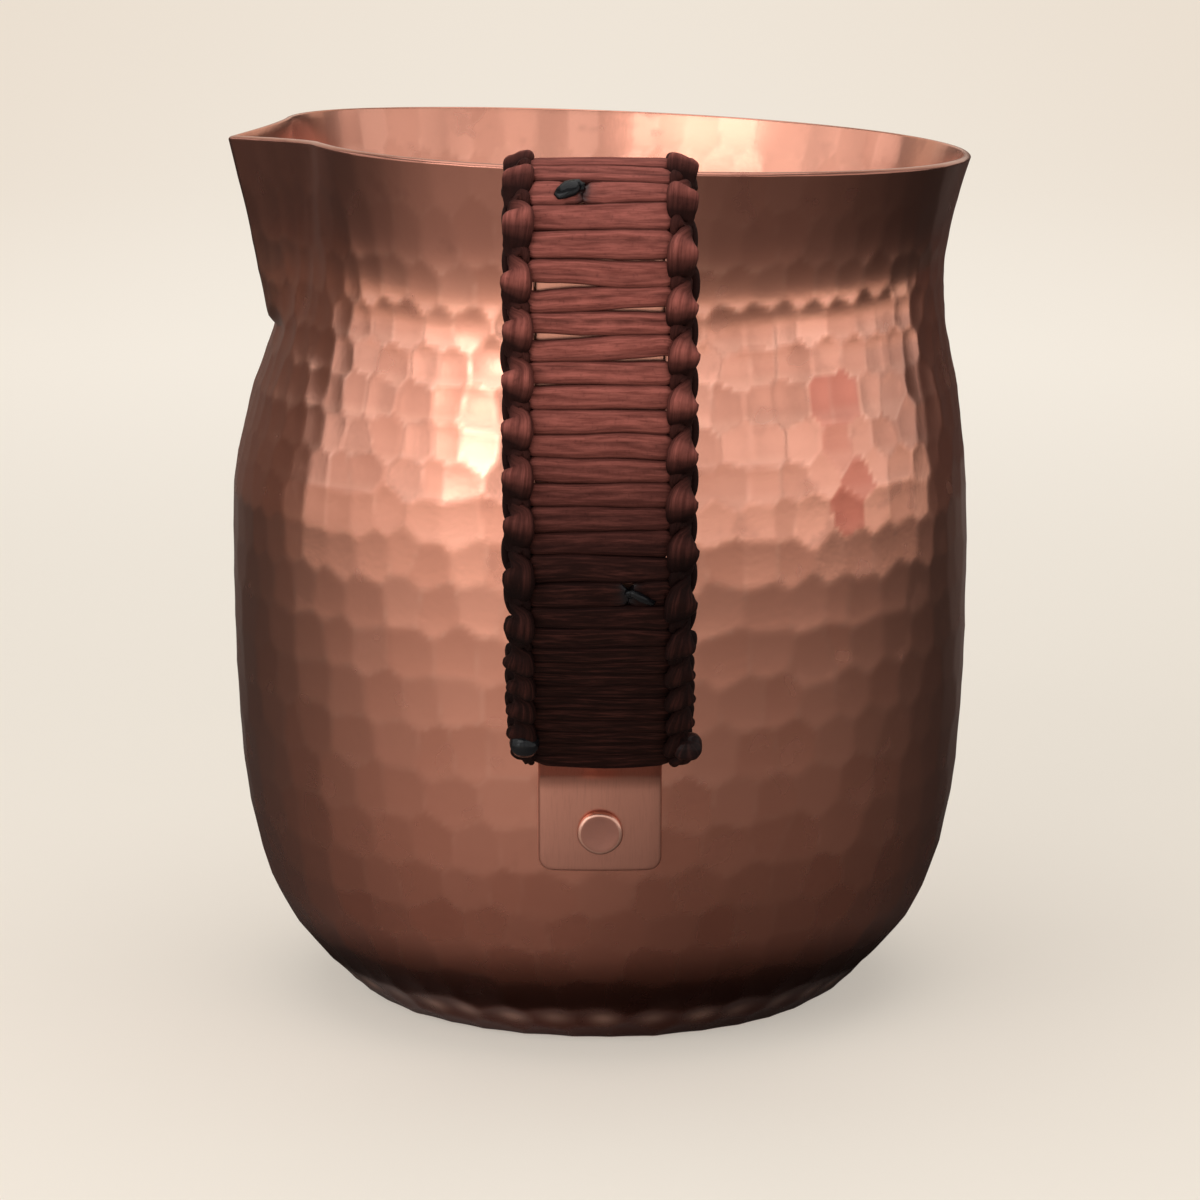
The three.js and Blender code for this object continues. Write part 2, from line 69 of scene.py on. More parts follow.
# The spout's measures, in degrees round the jug and in millimetres
SPOUT_TURN = 188.85
PINCH_DEPTH = 9.9
PINCH_HALF_ANGLE = 58.0
PINCH_START = 90.0
CREST_RISE = 10.1
CREST_HALF_ANGLE = 26.5
THROAT_HALF_ANGLE = 12.0
THROAT_HEIGHT = 118.0
RIM_TILT = 2.4
SPOUT_DIP = 1.3
PINCH_GROWTH = 1.3
CREST_GROWTH = 0.55
CREST_SHARPNESS = 1.6
RIM_LIFT_GROWTH = 1.5

# The strap's measures
STRAP_WIDTH = 20.0
STRAP_THICKNESS = 1.9
TAB_CORNER = 2.2
LOWER_TAB_END = 35.0
LOWER_TAB_ROOT = 51.0
GRIP_REACH = 103.7
LOWER_RISE = 41.5
ELBOW_RADIUS = 21.0
CROWN_RADIUS = 13.0
CROWN_HEIGHT = 150.2
RAMP_FALL = 30.0
UPPER_TAB_END = 111.0
TAB_BEND = 5.0
TAB_LIFT = 4.0
EDGE_ROUND = 0.55
SEAT_GAP = 0.3
SEAT = SEAT_GAP + STRAP_THICKNESS / 2

# The rivets' measures
RIVET_HEAD_RADIUS = 3.65
RIVET_HEAD_HEIGHT = 0.9
RIVET_SHANK_RADIUS = 1.9
RIVET_SEAT_ROUND = 34.0
LOWER_RIVET_HEIGHT = 42.0
UPPER_RIVET_HEIGHT = 121.5

# The lacing's measures
CORD_PITCH = 3.6
CORD_GAP = 0.34
SELF_GAP = 0.45
LEG_SPACE = 0.2
CROSS_SPACE = 0.25
BAR_THICKNESS = 1.8
SQUEEZED_THICKNESS = 1.4
LEG_THICKNESS = 1.6
LEG_LAYER = 3.15
LACING_FROM_WALL = 3.6
MELTED_BEAD = 2.25
LOWER_JOIN_BAR, LOWER_JOIN_PLACE = 12, 4.2
UPPER_JOIN_BAR, UPPER_JOIN_PLACE = 9, -2.6
LOWER_DROP, UPPER_DROP = 0.32, 0.72
JOIN_GAP = 0.12


# ---- the wall of the jug ----

def lengths_along(points):
    """The length from the start of a line to each of its points."""
    return np.concatenate([[0], np.cumsum(np.linalg.norm(np.diff(points, axis=0), axis=1))])


def bezier(points, t):
    """Points of a Bezier curve of any order at the values t."""
    rest = [np.outer(np.ones_like(t), point) for point in points]
    while len(rest) > 1:
        rest = [a * (1 - t)[:, None] + b * t[:, None] for a, b in zip(rest, rest[1:])]
    return rest[0]


def wall_curves():
    """Control points, as radius and height, of the wall's outer line from the base to the rim."""
    bowl = BELLY_HEIGHT - FOOT_HEIGHT
    shoulder = NECK_HEIGHT - BELLY_HEIGHT
    flare = RIM_HEIGHT - NECK_HEIGHT
    slope, lean = math.radians(FOOT_SLOPE), math.radians(FLARE_SLOPE)
    start, end = 0.215 * bowl, 0.33 * flare
    return [
        [(BASE_RADIUS, 0), (FOOT_RADIUS - FOOT_HEIGHT / math.tan(slope), 0),
         (FOOT_RADIUS, FOOT_HEIGHT)],
        [(FOOT_RADIUS, FOOT_HEIGHT),
         (FOOT_RADIUS + start * math.cos(slope), FOOT_HEIGHT + start * math.sin(slope)),
         (BELLY_RADIUS, BELLY_HEIGHT - 0.71 * bowl), (BELLY_RADIUS, BELLY_HEIGHT)],
        [(BELLY_RADIUS, BELLY_HEIGHT), (BELLY_RADIUS, BELLY_HEIGHT + 0.64 * shoulder),
         (NECK_RADIUS, NECK_HEIGHT - 0.28 * shoulder), (NECK_RADIUS, NECK_HEIGHT)],
        [(NECK_RADIUS, NECK_HEIGHT), (NECK_RADIUS, NECK_HEIGHT + 0.33 * flare),
         (RIM_RADIUS - end * math.sin(lean), RIM_HEIGHT - end * math.cos(lean)),
         (RIM_RADIUS, RIM_HEIGHT)],
    ]


def wall_table():
    """A fine table of the outer line: radius, height, outward normal and length along it."""
    t = np.linspace(0, 1, 161)
    line = np.concatenate([
        bezier(curve, t)[(1 if i else 0):] for i, curve in enumerate(wall_curves())
    ])
    tangent = np.gradient(line, axis=0)
    tangent /= np.linalg.norm(tangent, axis=1)[:, None]
    return {
        "radius": line[:, 0], "height": line[:, 1], "along": lengths_along(line) + BASE_RADIUS,
        "out": tangent[:, 1], "up": -tangent[:, 0],
    }


WALL_TABLE = wall_table()
WALL_END = WALL_TABLE["along"][-1]


def wall_line(along):
    """Radius, height and outward normal of the outer line at lengths from the base's centre."""
    radius, height, out, up = (
        np.interp(along, WALL_TABLE["along"], WALL_TABLE[key])
        for key in ("radius", "height", "out", "up")
    )
    under = along < BASE_RADIUS
    radius = np.where(under, along, radius)
    height = np.where(under, 0.0, height)
    return radius, height, np.where(under, 0.0, out), np.where(under, -1.0, up)


def wall_at(height):
    """Radius and outward normal of the wall at a height, away from the spout."""
    radius, out, up = (
        np.interp(height, WALL_TABLE["height"], WALL_TABLE[key]) for key in ("radius", "out", "up")
    )
    size = math.hypot(out, up)
    return float(radius), float(out / size), float(up / size)


def share(value, low, high):
    """How far a value has come from low to high, held between 0 and 1."""
    return np.clip((value - low) / (high - low), 0, 1)


def off_spout(turn):
    """The angle between a place and the spout."""
    return np.abs((turn - SPOUT_TURN + 180) % 360 - 180)


def spout_shift(turn, height):
    """How far the spout moves the wall out, in millimetres: flanks pinched in, a crest between."""
    off = off_spout(turn)
    pinch = PINCH_DEPTH * share(height, PINCH_START, RIM_HEIGHT) ** PINCH_GROWTH
    flank = 0.5 + 0.5 * np.cos(np.pi * np.minimum(1, off / PINCH_HALF_ANGLE))
    opened = share(height, THROAT_HEIGHT, RIM_HEIGHT)
    crest_angle = THROAT_HALF_ANGLE + (CREST_HALF_ANGLE - THROAT_HALF_ANGLE) * np.sqrt(opened)
    crest = CREST_RISE * opened ** CREST_GROWTH
    crest = crest * np.maximum(0, 1 - off / crest_angle) ** CREST_SHARPNESS
    return crest - pinch * flank


def rim_lift(turn, height):
    """How far the rim's tilt and the spout's dip move the wall up."""
    dip = SPOUT_DIP * np.maximum(0, 1 - off_spout(turn) / CREST_HALF_ANGLE)
    tilt = -RIM_TILT * np.cos(np.radians(turn))
    return (tilt - dip) * share(height, NECK_HEIGHT, RIM_HEIGHT) ** RIM_LIFT_GROWTH


# Single marks of the front with reddish oxide: place across, height and strength
FLUSHED = (
    (39.5, 111.5, 0.9), (36.7, 102.0, 0.45), (41.3, 96.5, 0.9),
    (41.5, 90.5, 1.0), (18.2, 88.5, 0.7), (19.5, 106.0, 0.3),
)

# Where the rings of hammer marks lie, as lengths along the wall from the base's centre
MARK_RINGS = (
    5.0, 13.0, 21.0, 29.0, 36.5, 42.8, 48.8, 55.8, 64.0, 71.1, 77.9, 85.9, 94.0, 101.9, 109.8,
    117.6, 125.3, 132.9, 140.2, 146.4, 152.0, 159.2, 165.1, 171.5, 177.6, 185.6, 195.5,
)

# The ring at the foot, whose small deep dents get a painted highlight at their middles
DENT_RING = 6

# How the marks change with the height on the wall: heights, and the values there
MARK_WIDTHS = [0, 40, 70, 88, 150], [7.9, 8.1, 7.6, 5.85, 5.85]
MARK_RELIEF = (
    [0, 4, 10, 30, 60, 80, 90, 100, 110, 150],
    [1.0, 1.5, 0.85, 0.64, 0.54, 0.45, 0.43, 0.62, 0.98, 0.9],
)
MARK_FADE = [0, 6, 12, 127, 135, 146], [0.9, 1.0, 1.0, 1.0, 0.55, 0.25]
MARK_FADE_UNDER = 0.35

# Above this height all rings have as many marks as fit round one radius
EVEN_ABOVE, EVEN_RADIUS = 88, 60.8

# How softly neighbouring marks join, how wide their ridges are, and where the wall's face lies
MARK_SOFTNESS = 0.1
RIDGE_WIDTH = 0.35
MARK_LEVEL = 1.15


class HammerMarks:
    """Rings of hammer marks laid over the wall, each a shallow dish with its own slight tilt."""

    def __init__(self, sizes):
        random = np.random.default_rng(sizes.mark_seed)
        self.depth = sizes.mark_depth
        self.rows = []
        for along, tall in zip(MARK_RINGS, np.gradient(MARK_RINGS)):
            radius, height, _, _ = (float(v) for v in wall_line(np.array(along)))
            wide = float(np.interp(height, *MARK_WIDTHS)) * sizes.mark_size
            fitted = EVEN_RADIUS if height > EVEN_ABOVE else max(radius, 2)
            count = max(3, round(2 * math.pi * fitted / wide))
            pitch = 360 / count
            stagger = 0.5 * (len(self.rows) % 2)
            row = {
                "along": along, "tall": tall, "count": count,
                "turn": 270 + pitch * (stagger + random.uniform(-0.22, 0.22)),
                "slide": random.uniform(-0.1, 0.1, count) * pitch,
                "rise": random.uniform(-0.08, 0.08, count) * tall,
                "lean": random.normal(0, 1, (count, 2)) * (0.6, 0.34),
                "sink": random.uniform(-0.07, 0.07, count),
                "tone": random.uniform(0, 1, count),
            }
            turns = row["turn"] + pitch * np.arange(count)
            across = radius * np.cos(np.radians(turns + row["slide"]))
            facing = np.sin(np.radians(turns)) < 0
            row["flush"] = np.zeros(count)
            for x, z, strength in FLUSHED:
                hit = facing & (np.abs(across - x) < wide * 0.5) & (abs(height - z) < tall * 0.5)
                row["flush"][hit] = strength
            self.rows.append(row)
        self.middles = np.array([row["along"] for row in self.rows])

    def over(self, turn, along):
        """At places on the wall: depth, ridge, tone, flush, height within the mark, painted
        highlight of the foot's dents.
        """
        near = np.clip(np.searchsorted(self.middles, along), 1, len(self.rows) - 1)
        upper_nearer = self.middles[near] - along < along - self.middles[near - 1]
        near = np.where(upper_nearer, near, near - 1)
        total, tone, flush, above, dent_glint = (np.zeros_like(along) for _ in range(5))
        best, second = (np.full_like(along, np.inf) for _ in range(2))
        for step in (-1, 0, 1):
            wanted = near + step
            for index, row in enumerate(self.rows):
                here = wanted == index
                if not here.any():
                    continue
                pitch = 360 / row["count"]
                place = (turn[here] - row["turn"]) / pitch
                for beside in (-1, 0, 1):
                    column = np.round(place).astype(int) + beside
                    mark = column % row["count"]
                    u = ((place - column) * pitch - row["slide"][mark]) / pitch * 2
                    v = (along[here] - row["along"] - row["rise"][mark]) / row["tall"] * 2
                    lean = row["lean"][mark]
                    value = u * u + v * v + lean[:, 0] * u + lean[:, 1] * v + row["sink"][mark]
                    total[here] += np.exp(-value / MARK_SOFTNESS)
                    closer = value < best[here]
                    runner_up = np.minimum(second[here], value)
                    second[here] = np.where(closer, best[here], runner_up)
                    tone[here] = np.where(closer, row["tone"][mark], tone[here])
                    flush[here] = np.where(closer, row["flush"][mark], flush[here])
                    above[here] = np.where(closer, v, above[here])
                    # Painted highlight at the middle of each dent in the foot ring.
                    if index == DENT_RING:
                        spot = np.exp(-3.4 * (u * u + v * v)) * (0.45 + 0.55 * row["tone"][mark])
                        dent_glint[here] = np.maximum(dent_glint[here], spot)
                    best[here] = np.minimum(best[here], value)
        height = -MARK_SOFTNESS * np.log(np.maximum(total, 1e-12))
        _, level, _, _ = wall_line(along)
        size = np.interp(level, *MARK_RELIEF)
        fade = np.where(along < BASE_RADIUS, MARK_FADE_UNDER, np.interp(level, *MARK_FADE))
        ridge = np.clip(1 - (second - best) / RIDGE_WIDTH, 0, 1)
        raised = (height - MARK_LEVEL) * self.depth * size * fade
        return raised, ridge * fade, tone, flush, above * fade, dent_glint


# ---- making meshes ----

def mesh_object(name, points, faces, smooth=True):
    """A mesh object from millimetre points and faces, linked to the scene."""
    mesh = bpy.data.meshes.new(name)
    points = np.asarray(points, float) * MM
    faces = np.asarray(faces)
    size = faces.shape[1]
    mesh.vertices.add(len(points))
    mesh.vertices.foreach_set("co", points.ravel())
    mesh.loops.add(faces.size)
    mesh.loops.foreach_set("vertex_index", faces.ravel().astype(np.int32))
    mesh.polygons.add(len(faces))
    mesh.polygons.foreach_set("loop_start", np.arange(0, faces.size, size, dtype=np.int32))
    mesh.polygons.foreach_set("loop_total", np.full(len(faces), size, np.int32))
    mesh.update(calc_edges=True)
    mesh.validate()
    mesh.polygons.foreach_set("use_smooth", np.full(len(mesh.polygons), smooth))
    made = bpy.data.objects.new(name, mesh)
    bpy.context.scene.collection.objects.link(made)
    return made


def paint_values(made, name, values):
    """Keeps one number for each vertex under a name that a finish can read."""
    layer = made.data.attributes.new(name, "FLOAT", "POINT")
    layer.data.foreach_set("value", np.asarray(values, np.float32))


def paint_places(made, name, values):
    """Keeps one vector for each vertex under a name that a finish can read."""
    layer = made.data.attributes.new(name, "FLOAT_VECTOR", "POINT")
    layer.data.foreach_set("vector", np.asarray(values, np.float32).ravel())


def grid_faces(rows, columns):
    """Quads over rings of vertices, with each ring closed on itself."""
    row, column = (
        v.ravel() for v in np.meshgrid(np.arange(rows - 1), np.arange(columns), indexing="ij")
    )
    after, above = (column + 1) % columns, row + 1
    return np.stack([
        row * columns + column, row * columns + after,
        above * columns + after, above * columns + column,
    ], axis=1)


def finish_piece(made, node, finish):
    """Gives a piece its finish and puts it in the place of its CAD node."""
    made.data.materials.append(finish)
    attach(made, "root")
    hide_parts(node)


# ---- shader maths ----

class Value:
    """A shader socket that takes part in Python arithmetic; each step adds a Math node."""

    def __init__(self, finish, socket):
        self.finish = finish
        self.socket = socket

    def math(self, operation, *others, clamp=False):
        settings = {"operation": operation, "use_clamp": clamp}
        return self.finish.node("ShaderNodeMath", settings, dict(enumerate((self, *others))))

    def __add__(self, other):
        return self.math("ADD", other)

    __radd__ = __add__

    def __sub__(self, other):
        return self.math("SUBTRACT", other)

    def __rsub__(self, other):
        return self.finish.node("ShaderNodeMath", {"operation": "SUBTRACT"}, {0: other, 1: self})

    def __mul__(self, other):
        return self.math("MULTIPLY", other)

    __rmul__ = __mul__

    def held(self):
        """The same value, kept between 0 and 1."""
        return self.math("ADD", 0.0, clamp=True)


class Finish:
    """A procedural material under construction, with its Principled shader."""

    def __init__(self, name):
        self.material = bpy.data.materials.new(name)
        self.material.use_nodes = True
        self.tree = self.material.node_tree
        self.tree.nodes.clear()
        self.output = self.tree.nodes.new("ShaderNodeOutputMaterial")
        self.shader = self.tree.nodes.new("ShaderNodeBsdfPrincipled")
        self.tree.links.new(self.shader.outputs[0], self.output.inputs["Surface"])

    def node(self, kind, settings=None, inputs=None, output=0):
        """Adds a node: its settings first, then the values or links of its sockets."""
        made = self.tree.nodes.new(kind)
        for key, value in (settings or {}).items():
            setattr(made, key, value)
        for key, value in (inputs or {}).items():
            self.plug(made.inputs[key], value)
        return Value(self, made.outputs[output])

    def plug(self, socket, value):
        """Links a value to a socket, or sets the socket to a number, vector or colour."""
        if isinstance(value, Value):
            self.tree.links.new(value.socket, socket)
        elif socket.type == "RGBA":
            socket.default_value = (*value, 1.0)
        else:
            socket.default_value = value

    def set(self, **sockets):
        """Sets or links the shader's own sockets, named with underscores for spaces."""
        for key, value in sockets.items():
            self.plug(self.shader.inputs[key.replace("_", " ")], value)

    def show(self, surface):
        """Uses a mix of shaders in place of the plain one."""
        self.tree.links.new(surface.socket, self.output.inputs["Surface"])

    def places(self):
        return self.node("ShaderNodeTexCoord", output="Object")

    def kept(self, name, output="Fac"):
        """A value that the mesh keeps at its vertices."""
        return self.node("ShaderNodeAttribute", {"attribute_name": name}, output=output)

    def scaled(self, vector, factors):
        return self.node("ShaderNodeVectorMath", {"operation": "MULTIPLY"}, {0: vector, 1: factors})

    def noise(self, vector, scale, detail=2.0, roughness=0.5):
        return self.node(
            "ShaderNodeTexNoise", {"noise_dimensions": "3D"},
            {"Vector": vector, "Scale": scale, "Detail": detail, "Roughness": roughness},
        )

    def levels(self, value, low, high, to_low=0.0, to_high=1.0):
        """Maps low..high smoothly onto to_low..to_high."""
        return self.node(
            "ShaderNodeMapRange", {"interpolation_type": "SMOOTHSTEP"},
            {"Value": value, "From Min": low, "From Max": high,
             "To Min": to_low, "To Max": to_high},
        )

    def blend(self, factor, first, second):
        """Mixes two colours by a factor."""
        return self.node(
            "ShaderNodeMix", {"data_type": "RGBA"}, {0: factor, 6: first, 7: second}, output=2,
        )

    def bump(self, height, distance, strength=1.0):
        return self.node(
            "ShaderNodeBump", None,
            {"Height": height, "Distance": distance, "Strength": strength}, output="Normal",
        )

    def height(self, vector):
        """The height above the table, in metres."""
        return self.node("ShaderNodeSeparateXYZ", None, {0: vector}, output="Z")


def hammered_copper(colours):
    """Planished copper: polished ridges, cloudy patina, painted shade and highlight within each
    mark, painted highlights in the foot's dents, and brown near the foot and under the rim, which
    is painted shade, partly brown patina.
    """
    finish = Finish("planished_copper")
    where = finish.places()
    height = finish.height(where)
    clouds = finish.noise(where, 42.0, 3.0, 0.55)
    blotches = finish.noise(where, 150.0, 2.0, 0.6)
    # Painted shade, partly brown toning: the wall darkens towards the foot.
    low = finish.levels(height, 0.085, 0.004)
    foot_shade_and_toning = (low * 0.62 + (clouds - 0.5) * low * 0.35).held()
    # Painted shade where the foot turns under.
    edge = finish.levels(height, 0.021, 0.008)
    # Painted shade under the rim's flare, partly brown patina, on the outside only.
    collar = finish.levels(height, 0.126, 0.138) * finish.kept("outside") * (0.55 + clouds * 0.3)
    stain = finish.levels(blotches, 0.56, 0.74) * 0.16
    mark = finish.kept("tone")
    ridge = finish.kept("ridge")
    # Painted shade on the top of each mark and a painted highlight on its lower edge, as light from
    # above falls into the dishes; full in the upper wall, weaker lower down.
    mark_shade_strength = finish.levels(height, 0.085, 0.106, 0.25, 1.0)
    upper = finish.levels(finish.kept("above"), -0.1, 1.1) * mark_shade_strength * 0.26
    lower = finish.levels(finish.kept("above"), -0.35, -1.0) * mark_shade_strength * 0.3
    deep_tone_and_mark_shade = (clouds * 0.34 + mark * 0.5 + upper - lower * 0.5).held()
    body = finish.blend(deep_tone_and_mark_shade, colours.copper, colours.copper_deep_and_shade)
    warm = finish.blend((stain + collar).held(), body, colours.patina)
    toned = finish.blend(foot_shade_and_toning * colours.foot_shade_and_toning_amount, warm, colours.foot_shade_and_tone)
    foot_under_shaded = finish.blend(edge * 0.85, toned, colours.foot_under_shade)
    # Painted highlights at the middles of the dents in the foot ring.
    dent_glints = finish.blend(finish.kept("dent_glint"), foot_under_shaded, colours.ridge)
    rusty = finish.blend(finish.kept("flush") * 0.7, dent_glints, colours.flush)
    # Polished ridges, worn bright, with the painted highlight on the lower edge of each mark.
    worn_and_highlighted = finish.blend((ridge * 0.12 + lower * 0.4) * (1 - foot_shade_and_toning), rusty, colours.ridge)
    grain = finish.noise(finish.scaled(where, (1.0, 1.0, 0.35)), 2600.0, 2.0, 0.6)
    pits = finish.noise(where, 900.0, 2.0, 0.5)
    rough = 0.165 + clouds * 0.06 + mark * 0.05 + stain * 0.4 + foot_shade_and_toning * 0.08 - ridge * 0.03
    surface = finish.bump(grain * 0.35 + pits * 0.65, 0.00003, 0.5)
    finish.set(Base_Color=worn_and_highlighted, Roughness=rough, Metallic=1.0, Normal=surface)
    return finish.material


def strap_copper(colours):
    """Flat copper strip with a faint lengthwise brushing and browner patches."""
    finish = Finish("brushed_copper")
    where = finish.places()
    clouds = finish.noise(where, 70.0, 3.0, 0.5)
    lines = finish.noise(finish.scaled(where, (9.0, 1.0, 0.6)), 420.0, 3.0, 0.6)
    height = finish.height(where)
    low = finish.levels(height, 0.075, 0.02) * 0.62
    body = finish.blend((clouds * 0.7).held(), colours.copper, colours.copper_deep_and_shade)
    toned = finish.blend(low, body, colours.strap_tone)
    streaked = finish.blend(finish.levels(lines, 0.45, 0.75) * 0.18, toned, colours.patina)
    rough = 0.24 + lines * 0.08 + clouds * 0.05
    surface = finish.bump(lines, 0.00003, 0.5)
    finish.set(Base_Color=streaked, Roughness=rough, Metallic=1.0, Normal=surface)
    return finish.material


def rivet_copper(colours):
    """Rivet heads: the strap's copper with a brighter, hammered edge."""
    finish = Finish("peened_copper")
    where = finish.places()
    dents = finish.noise(where, 520.0, 2.0, 0.5)
    edge = finish.kept("edge")
    face = finish.blend((dents * 0.5).held(), colours.strap_tone, colours.copper_deep_and_shade)
    body = finish.blend(edge * 0.5, face, colours.ridge)
    rough = 0.38 - edge * 0.08 + dents * 0.06
    surface = finish.bump(dents, 0.00008, 0.5)
    finish.set(Base_Color=body, Roughness=rough, Metallic=1.0, Normal=surface)
    return finish.material


def lacing_cord(colours):
    """Waxed cord laid flat: fibres along it, painted shade in its folds, creases, undersides and
    turns and on the lower grip, and melted ends.
    """
    finish = Finish("waxed_cord")
    run = finish.kept("run", "Vector")
    fibres = finish.noise(finish.scaled(run, (0.16, 2.4, 1.0)), 1.0, 3.0, 0.65)
    threads = finish.noise(finish.scaled(run, (0.9, 5.5, 1.0)), 1.0, 2.0, 0.6)
    fuzz = finish.noise(finish.scaled(run, (1.6, 1.8, 1.0)), 1.0, 3.0, 0.6)
    fold = finish.kept("fold")
    melted = finish.kept("melted")
    height = finish.height(finish.places())
    # Painted shade on the lower grip, which faces down, away from the light; lighter fibre streaks
    # stay in it.
    grip_shade = finish.levels(height, 0.121, 0.09)
    body = finish.blend(finish.levels(fibres, 0.3, 0.7), colours.cord, colours.cord_light)
    mottled = finish.blend(finish.levels(fuzz, 0.52, 0.8) * 0.3, body, colours.cord_dark_and_shade)
    streaks = finish.levels(fibres, 0.4, 0.75) * 0.1
    grip_shade_amount = (grip_shade * colours.grip_shade_strength - grip_shade * streaks).held()
    grip_shaded = finish.blend(grip_shade_amount, mottled, colours.cord_in_shade)
    # Painted shade where the cord folds, creases, turns round the strap and faces down.
    darkened = finish.blend(fold * 0.96, grip_shaded, colours.cord_dark_and_shade)
    burnt = finish.blend(melted, darkened, colours.melted)
    rough = (0.62 + fibres * 0.2) * (1 - melted) + melted * 0.16
    relief = finish.bump(fibres * 0.5 + threads * 0.35 + fuzz * 0.15 - fold * 0.4, 0.00022, 0.75)
    finish.set(Base_Color=burnt, Roughness=rough, Metallic=0.0, Normal=relief)
    finish.set(Specular_IOR_Level=0.05, Coat_Weight=melted * 0.3, Coat_Roughness=0.12)
    return finish.material


# ---- the body ----

def wall_rows(sizes):
    """The body's rings: outer side from the base's centre to the rim, lip, then the inner side."""
    step = sizes.mesh_step
    outer = np.concatenate([
        np.linspace(3, BASE_RADIUS, 22)[:-1],
        np.arange(BASE_RADIUS, WALL_END, step),
        [WALL_END],
    ])
    inner = np.concatenate([
        np.linspace(3, BASE_RADIUS, 26)[:-1],
        np.linspace(BASE_RADIUS, WALL_END, round((WALL_END - BASE_RADIUS) / step / 0.75 * 0.55)),
    ])[::-1]
    return outer, inner


def body_points(sizes):
    """Vertices of the hammered wall, and the values that its finish reads."""
    marks = HammerMarks(sizes)
    outer, inner = wall_rows(sizes)
    columns = sizes.mesh_columns
    turns = SPOUT_TURN + np.arange(columns) * 360 / columns
    lip = np.linspace(0, 1, 8)[1:-1]

    def ring_points(along, depth_in, lift, share_of_marks):
        radius, height, out, up = wall_line(along)
        turn, line = np.meshgrid(turns, along)
        raised, *values = (v.reshape(line.shape) for v in marks.over(turn.ravel(), line.ravel()))
        inset = raised * share_of_marks[:, None] - depth_in[:, None]
        reach = radius[:, None] + inset * out[:, None]
        level = height[:, None] + inset * up[:, None] + lift[:, None]
        angle = np.radians(turn)
        wide = reach + spout_shift(turn, level)
        lifted = level + rim_lift(turn, level)
        place = np.stack([wide * np.cos(angle), wide * np.sin(angle), lifted], -1)
        return [place, *values]

    ends = np.full(len(lip), WALL_END)
    sunk = WALL * (0.5 - 0.5 * np.cos(np.pi * lip))
    rounded = 0.4 * np.sin(np.pi * lip)
    none_out, none_in = np.zeros(len(outer)), np.zeros(len(inner))
    parts = [
        ring_points(outer, none_out, none_out, none_out + 1),
        ring_points(ends, sunk, rounded, np.full(len(lip), 0.6)),
        ring_points(inner, none_in + WALL, none_in, none_in + 0.62),
    ]
    place, ridge, tone, flush, above, dent_glint = (np.concatenate(rings) for rings in zip(*parts))
    side = np.concatenate([np.ones(len(outer)), np.linspace(1, 0, len(lip)), np.zeros(len(inner))])
    outside = np.repeat(side, columns).reshape(place.shape[:2])
    values = {"ridge": ridge, "tone": tone, "above": above, "outside": outside}
    return place, {**values, "flush": flush * outside, "dent_glint": dent_glint * outside}


def build_body(settings):
    place, values = body_points(settings.sizes)
    rows, columns = place.shape[:2]
    foot, floor = [0, 0, 0.0], [0, 0, WALL]
    points = np.vstack([place.reshape(-1, 3), foot, floor])
    made = mesh_object("jug_body", points, grid_faces(rows, columns))
    close_ends(made, rows, columns)
    for name, kept in values.items():
        paint_values(made, name, np.concatenate([kept.ravel(), [0, 0]]))
    finish_piece(made, "body", hammered_copper(settings.colours))


def close_ends(made, rows, columns):
    """Fans of triangles from the last two vertices to the first and the last ring."""
    shape = bmesh.new()
    shape.from_mesh(made.data)
    shape.verts.ensure_lookup_table()
    foot, floor = shape.verts[rows * columns], shape.verts[rows * columns + 1]
    last = (rows - 1) * columns
    for i in range(columns):
        j = (i + 1) % columns
        for corners in ((foot, shape.verts[j], shape.verts[i]),
                        (floor, shape.verts[last + i], shape.verts[last + j])):
            face = shape.faces.new(corners)
            face.smooth = True
    shape.to_mesh(made.data)
    shape.free()


# ---- the strap's line ----

def tab_points(low, high):
    """Six points of a tab that lies on the wall."""
    heights = [low + (high - low) * i / 5 for i in range(6)]
    return [(wall_at(height)[0] + SEAT, height, 0.0) for height in heights]


def strap_corners():
    """Corners of the strap's centre line: distance in front of the axis, height, bend radius."""
    lower = tab_points(LOWER_TAB_END, LOWER_TAB_ROOT)
    lower[-1] = (*lower[-1][:2], TAB_BEND)
    elbow = lower[-1][1] + (GRIP_REACH - lower[-1][0]) * math.tan(math.radians(LOWER_RISE))
    fall = math.radians(RAMP_FALL)
    corner = CROWN_HEIGHT - CROWN_RADIUS + CROWN_RADIUS / math.tan(math.radians(45) - fall / 2)
    x, z = GRIP_REACH, corner
    while x > wall_at(min(z, RIM_HEIGHT))[0] + SEAT:
        x -= 0.05 * math.cos(fall)
        z -= 0.05 * math.sin(fall)
    upper = tab_points(z, UPPER_TAB_END)
    upper[0] = (*upper[0][:2], TAB_BEND)
    return lower + [(GRIP_REACH, elbow, ELBOW_RADIUS), (GRIP_REACH, corner, CROWN_RADIUS)] + upper


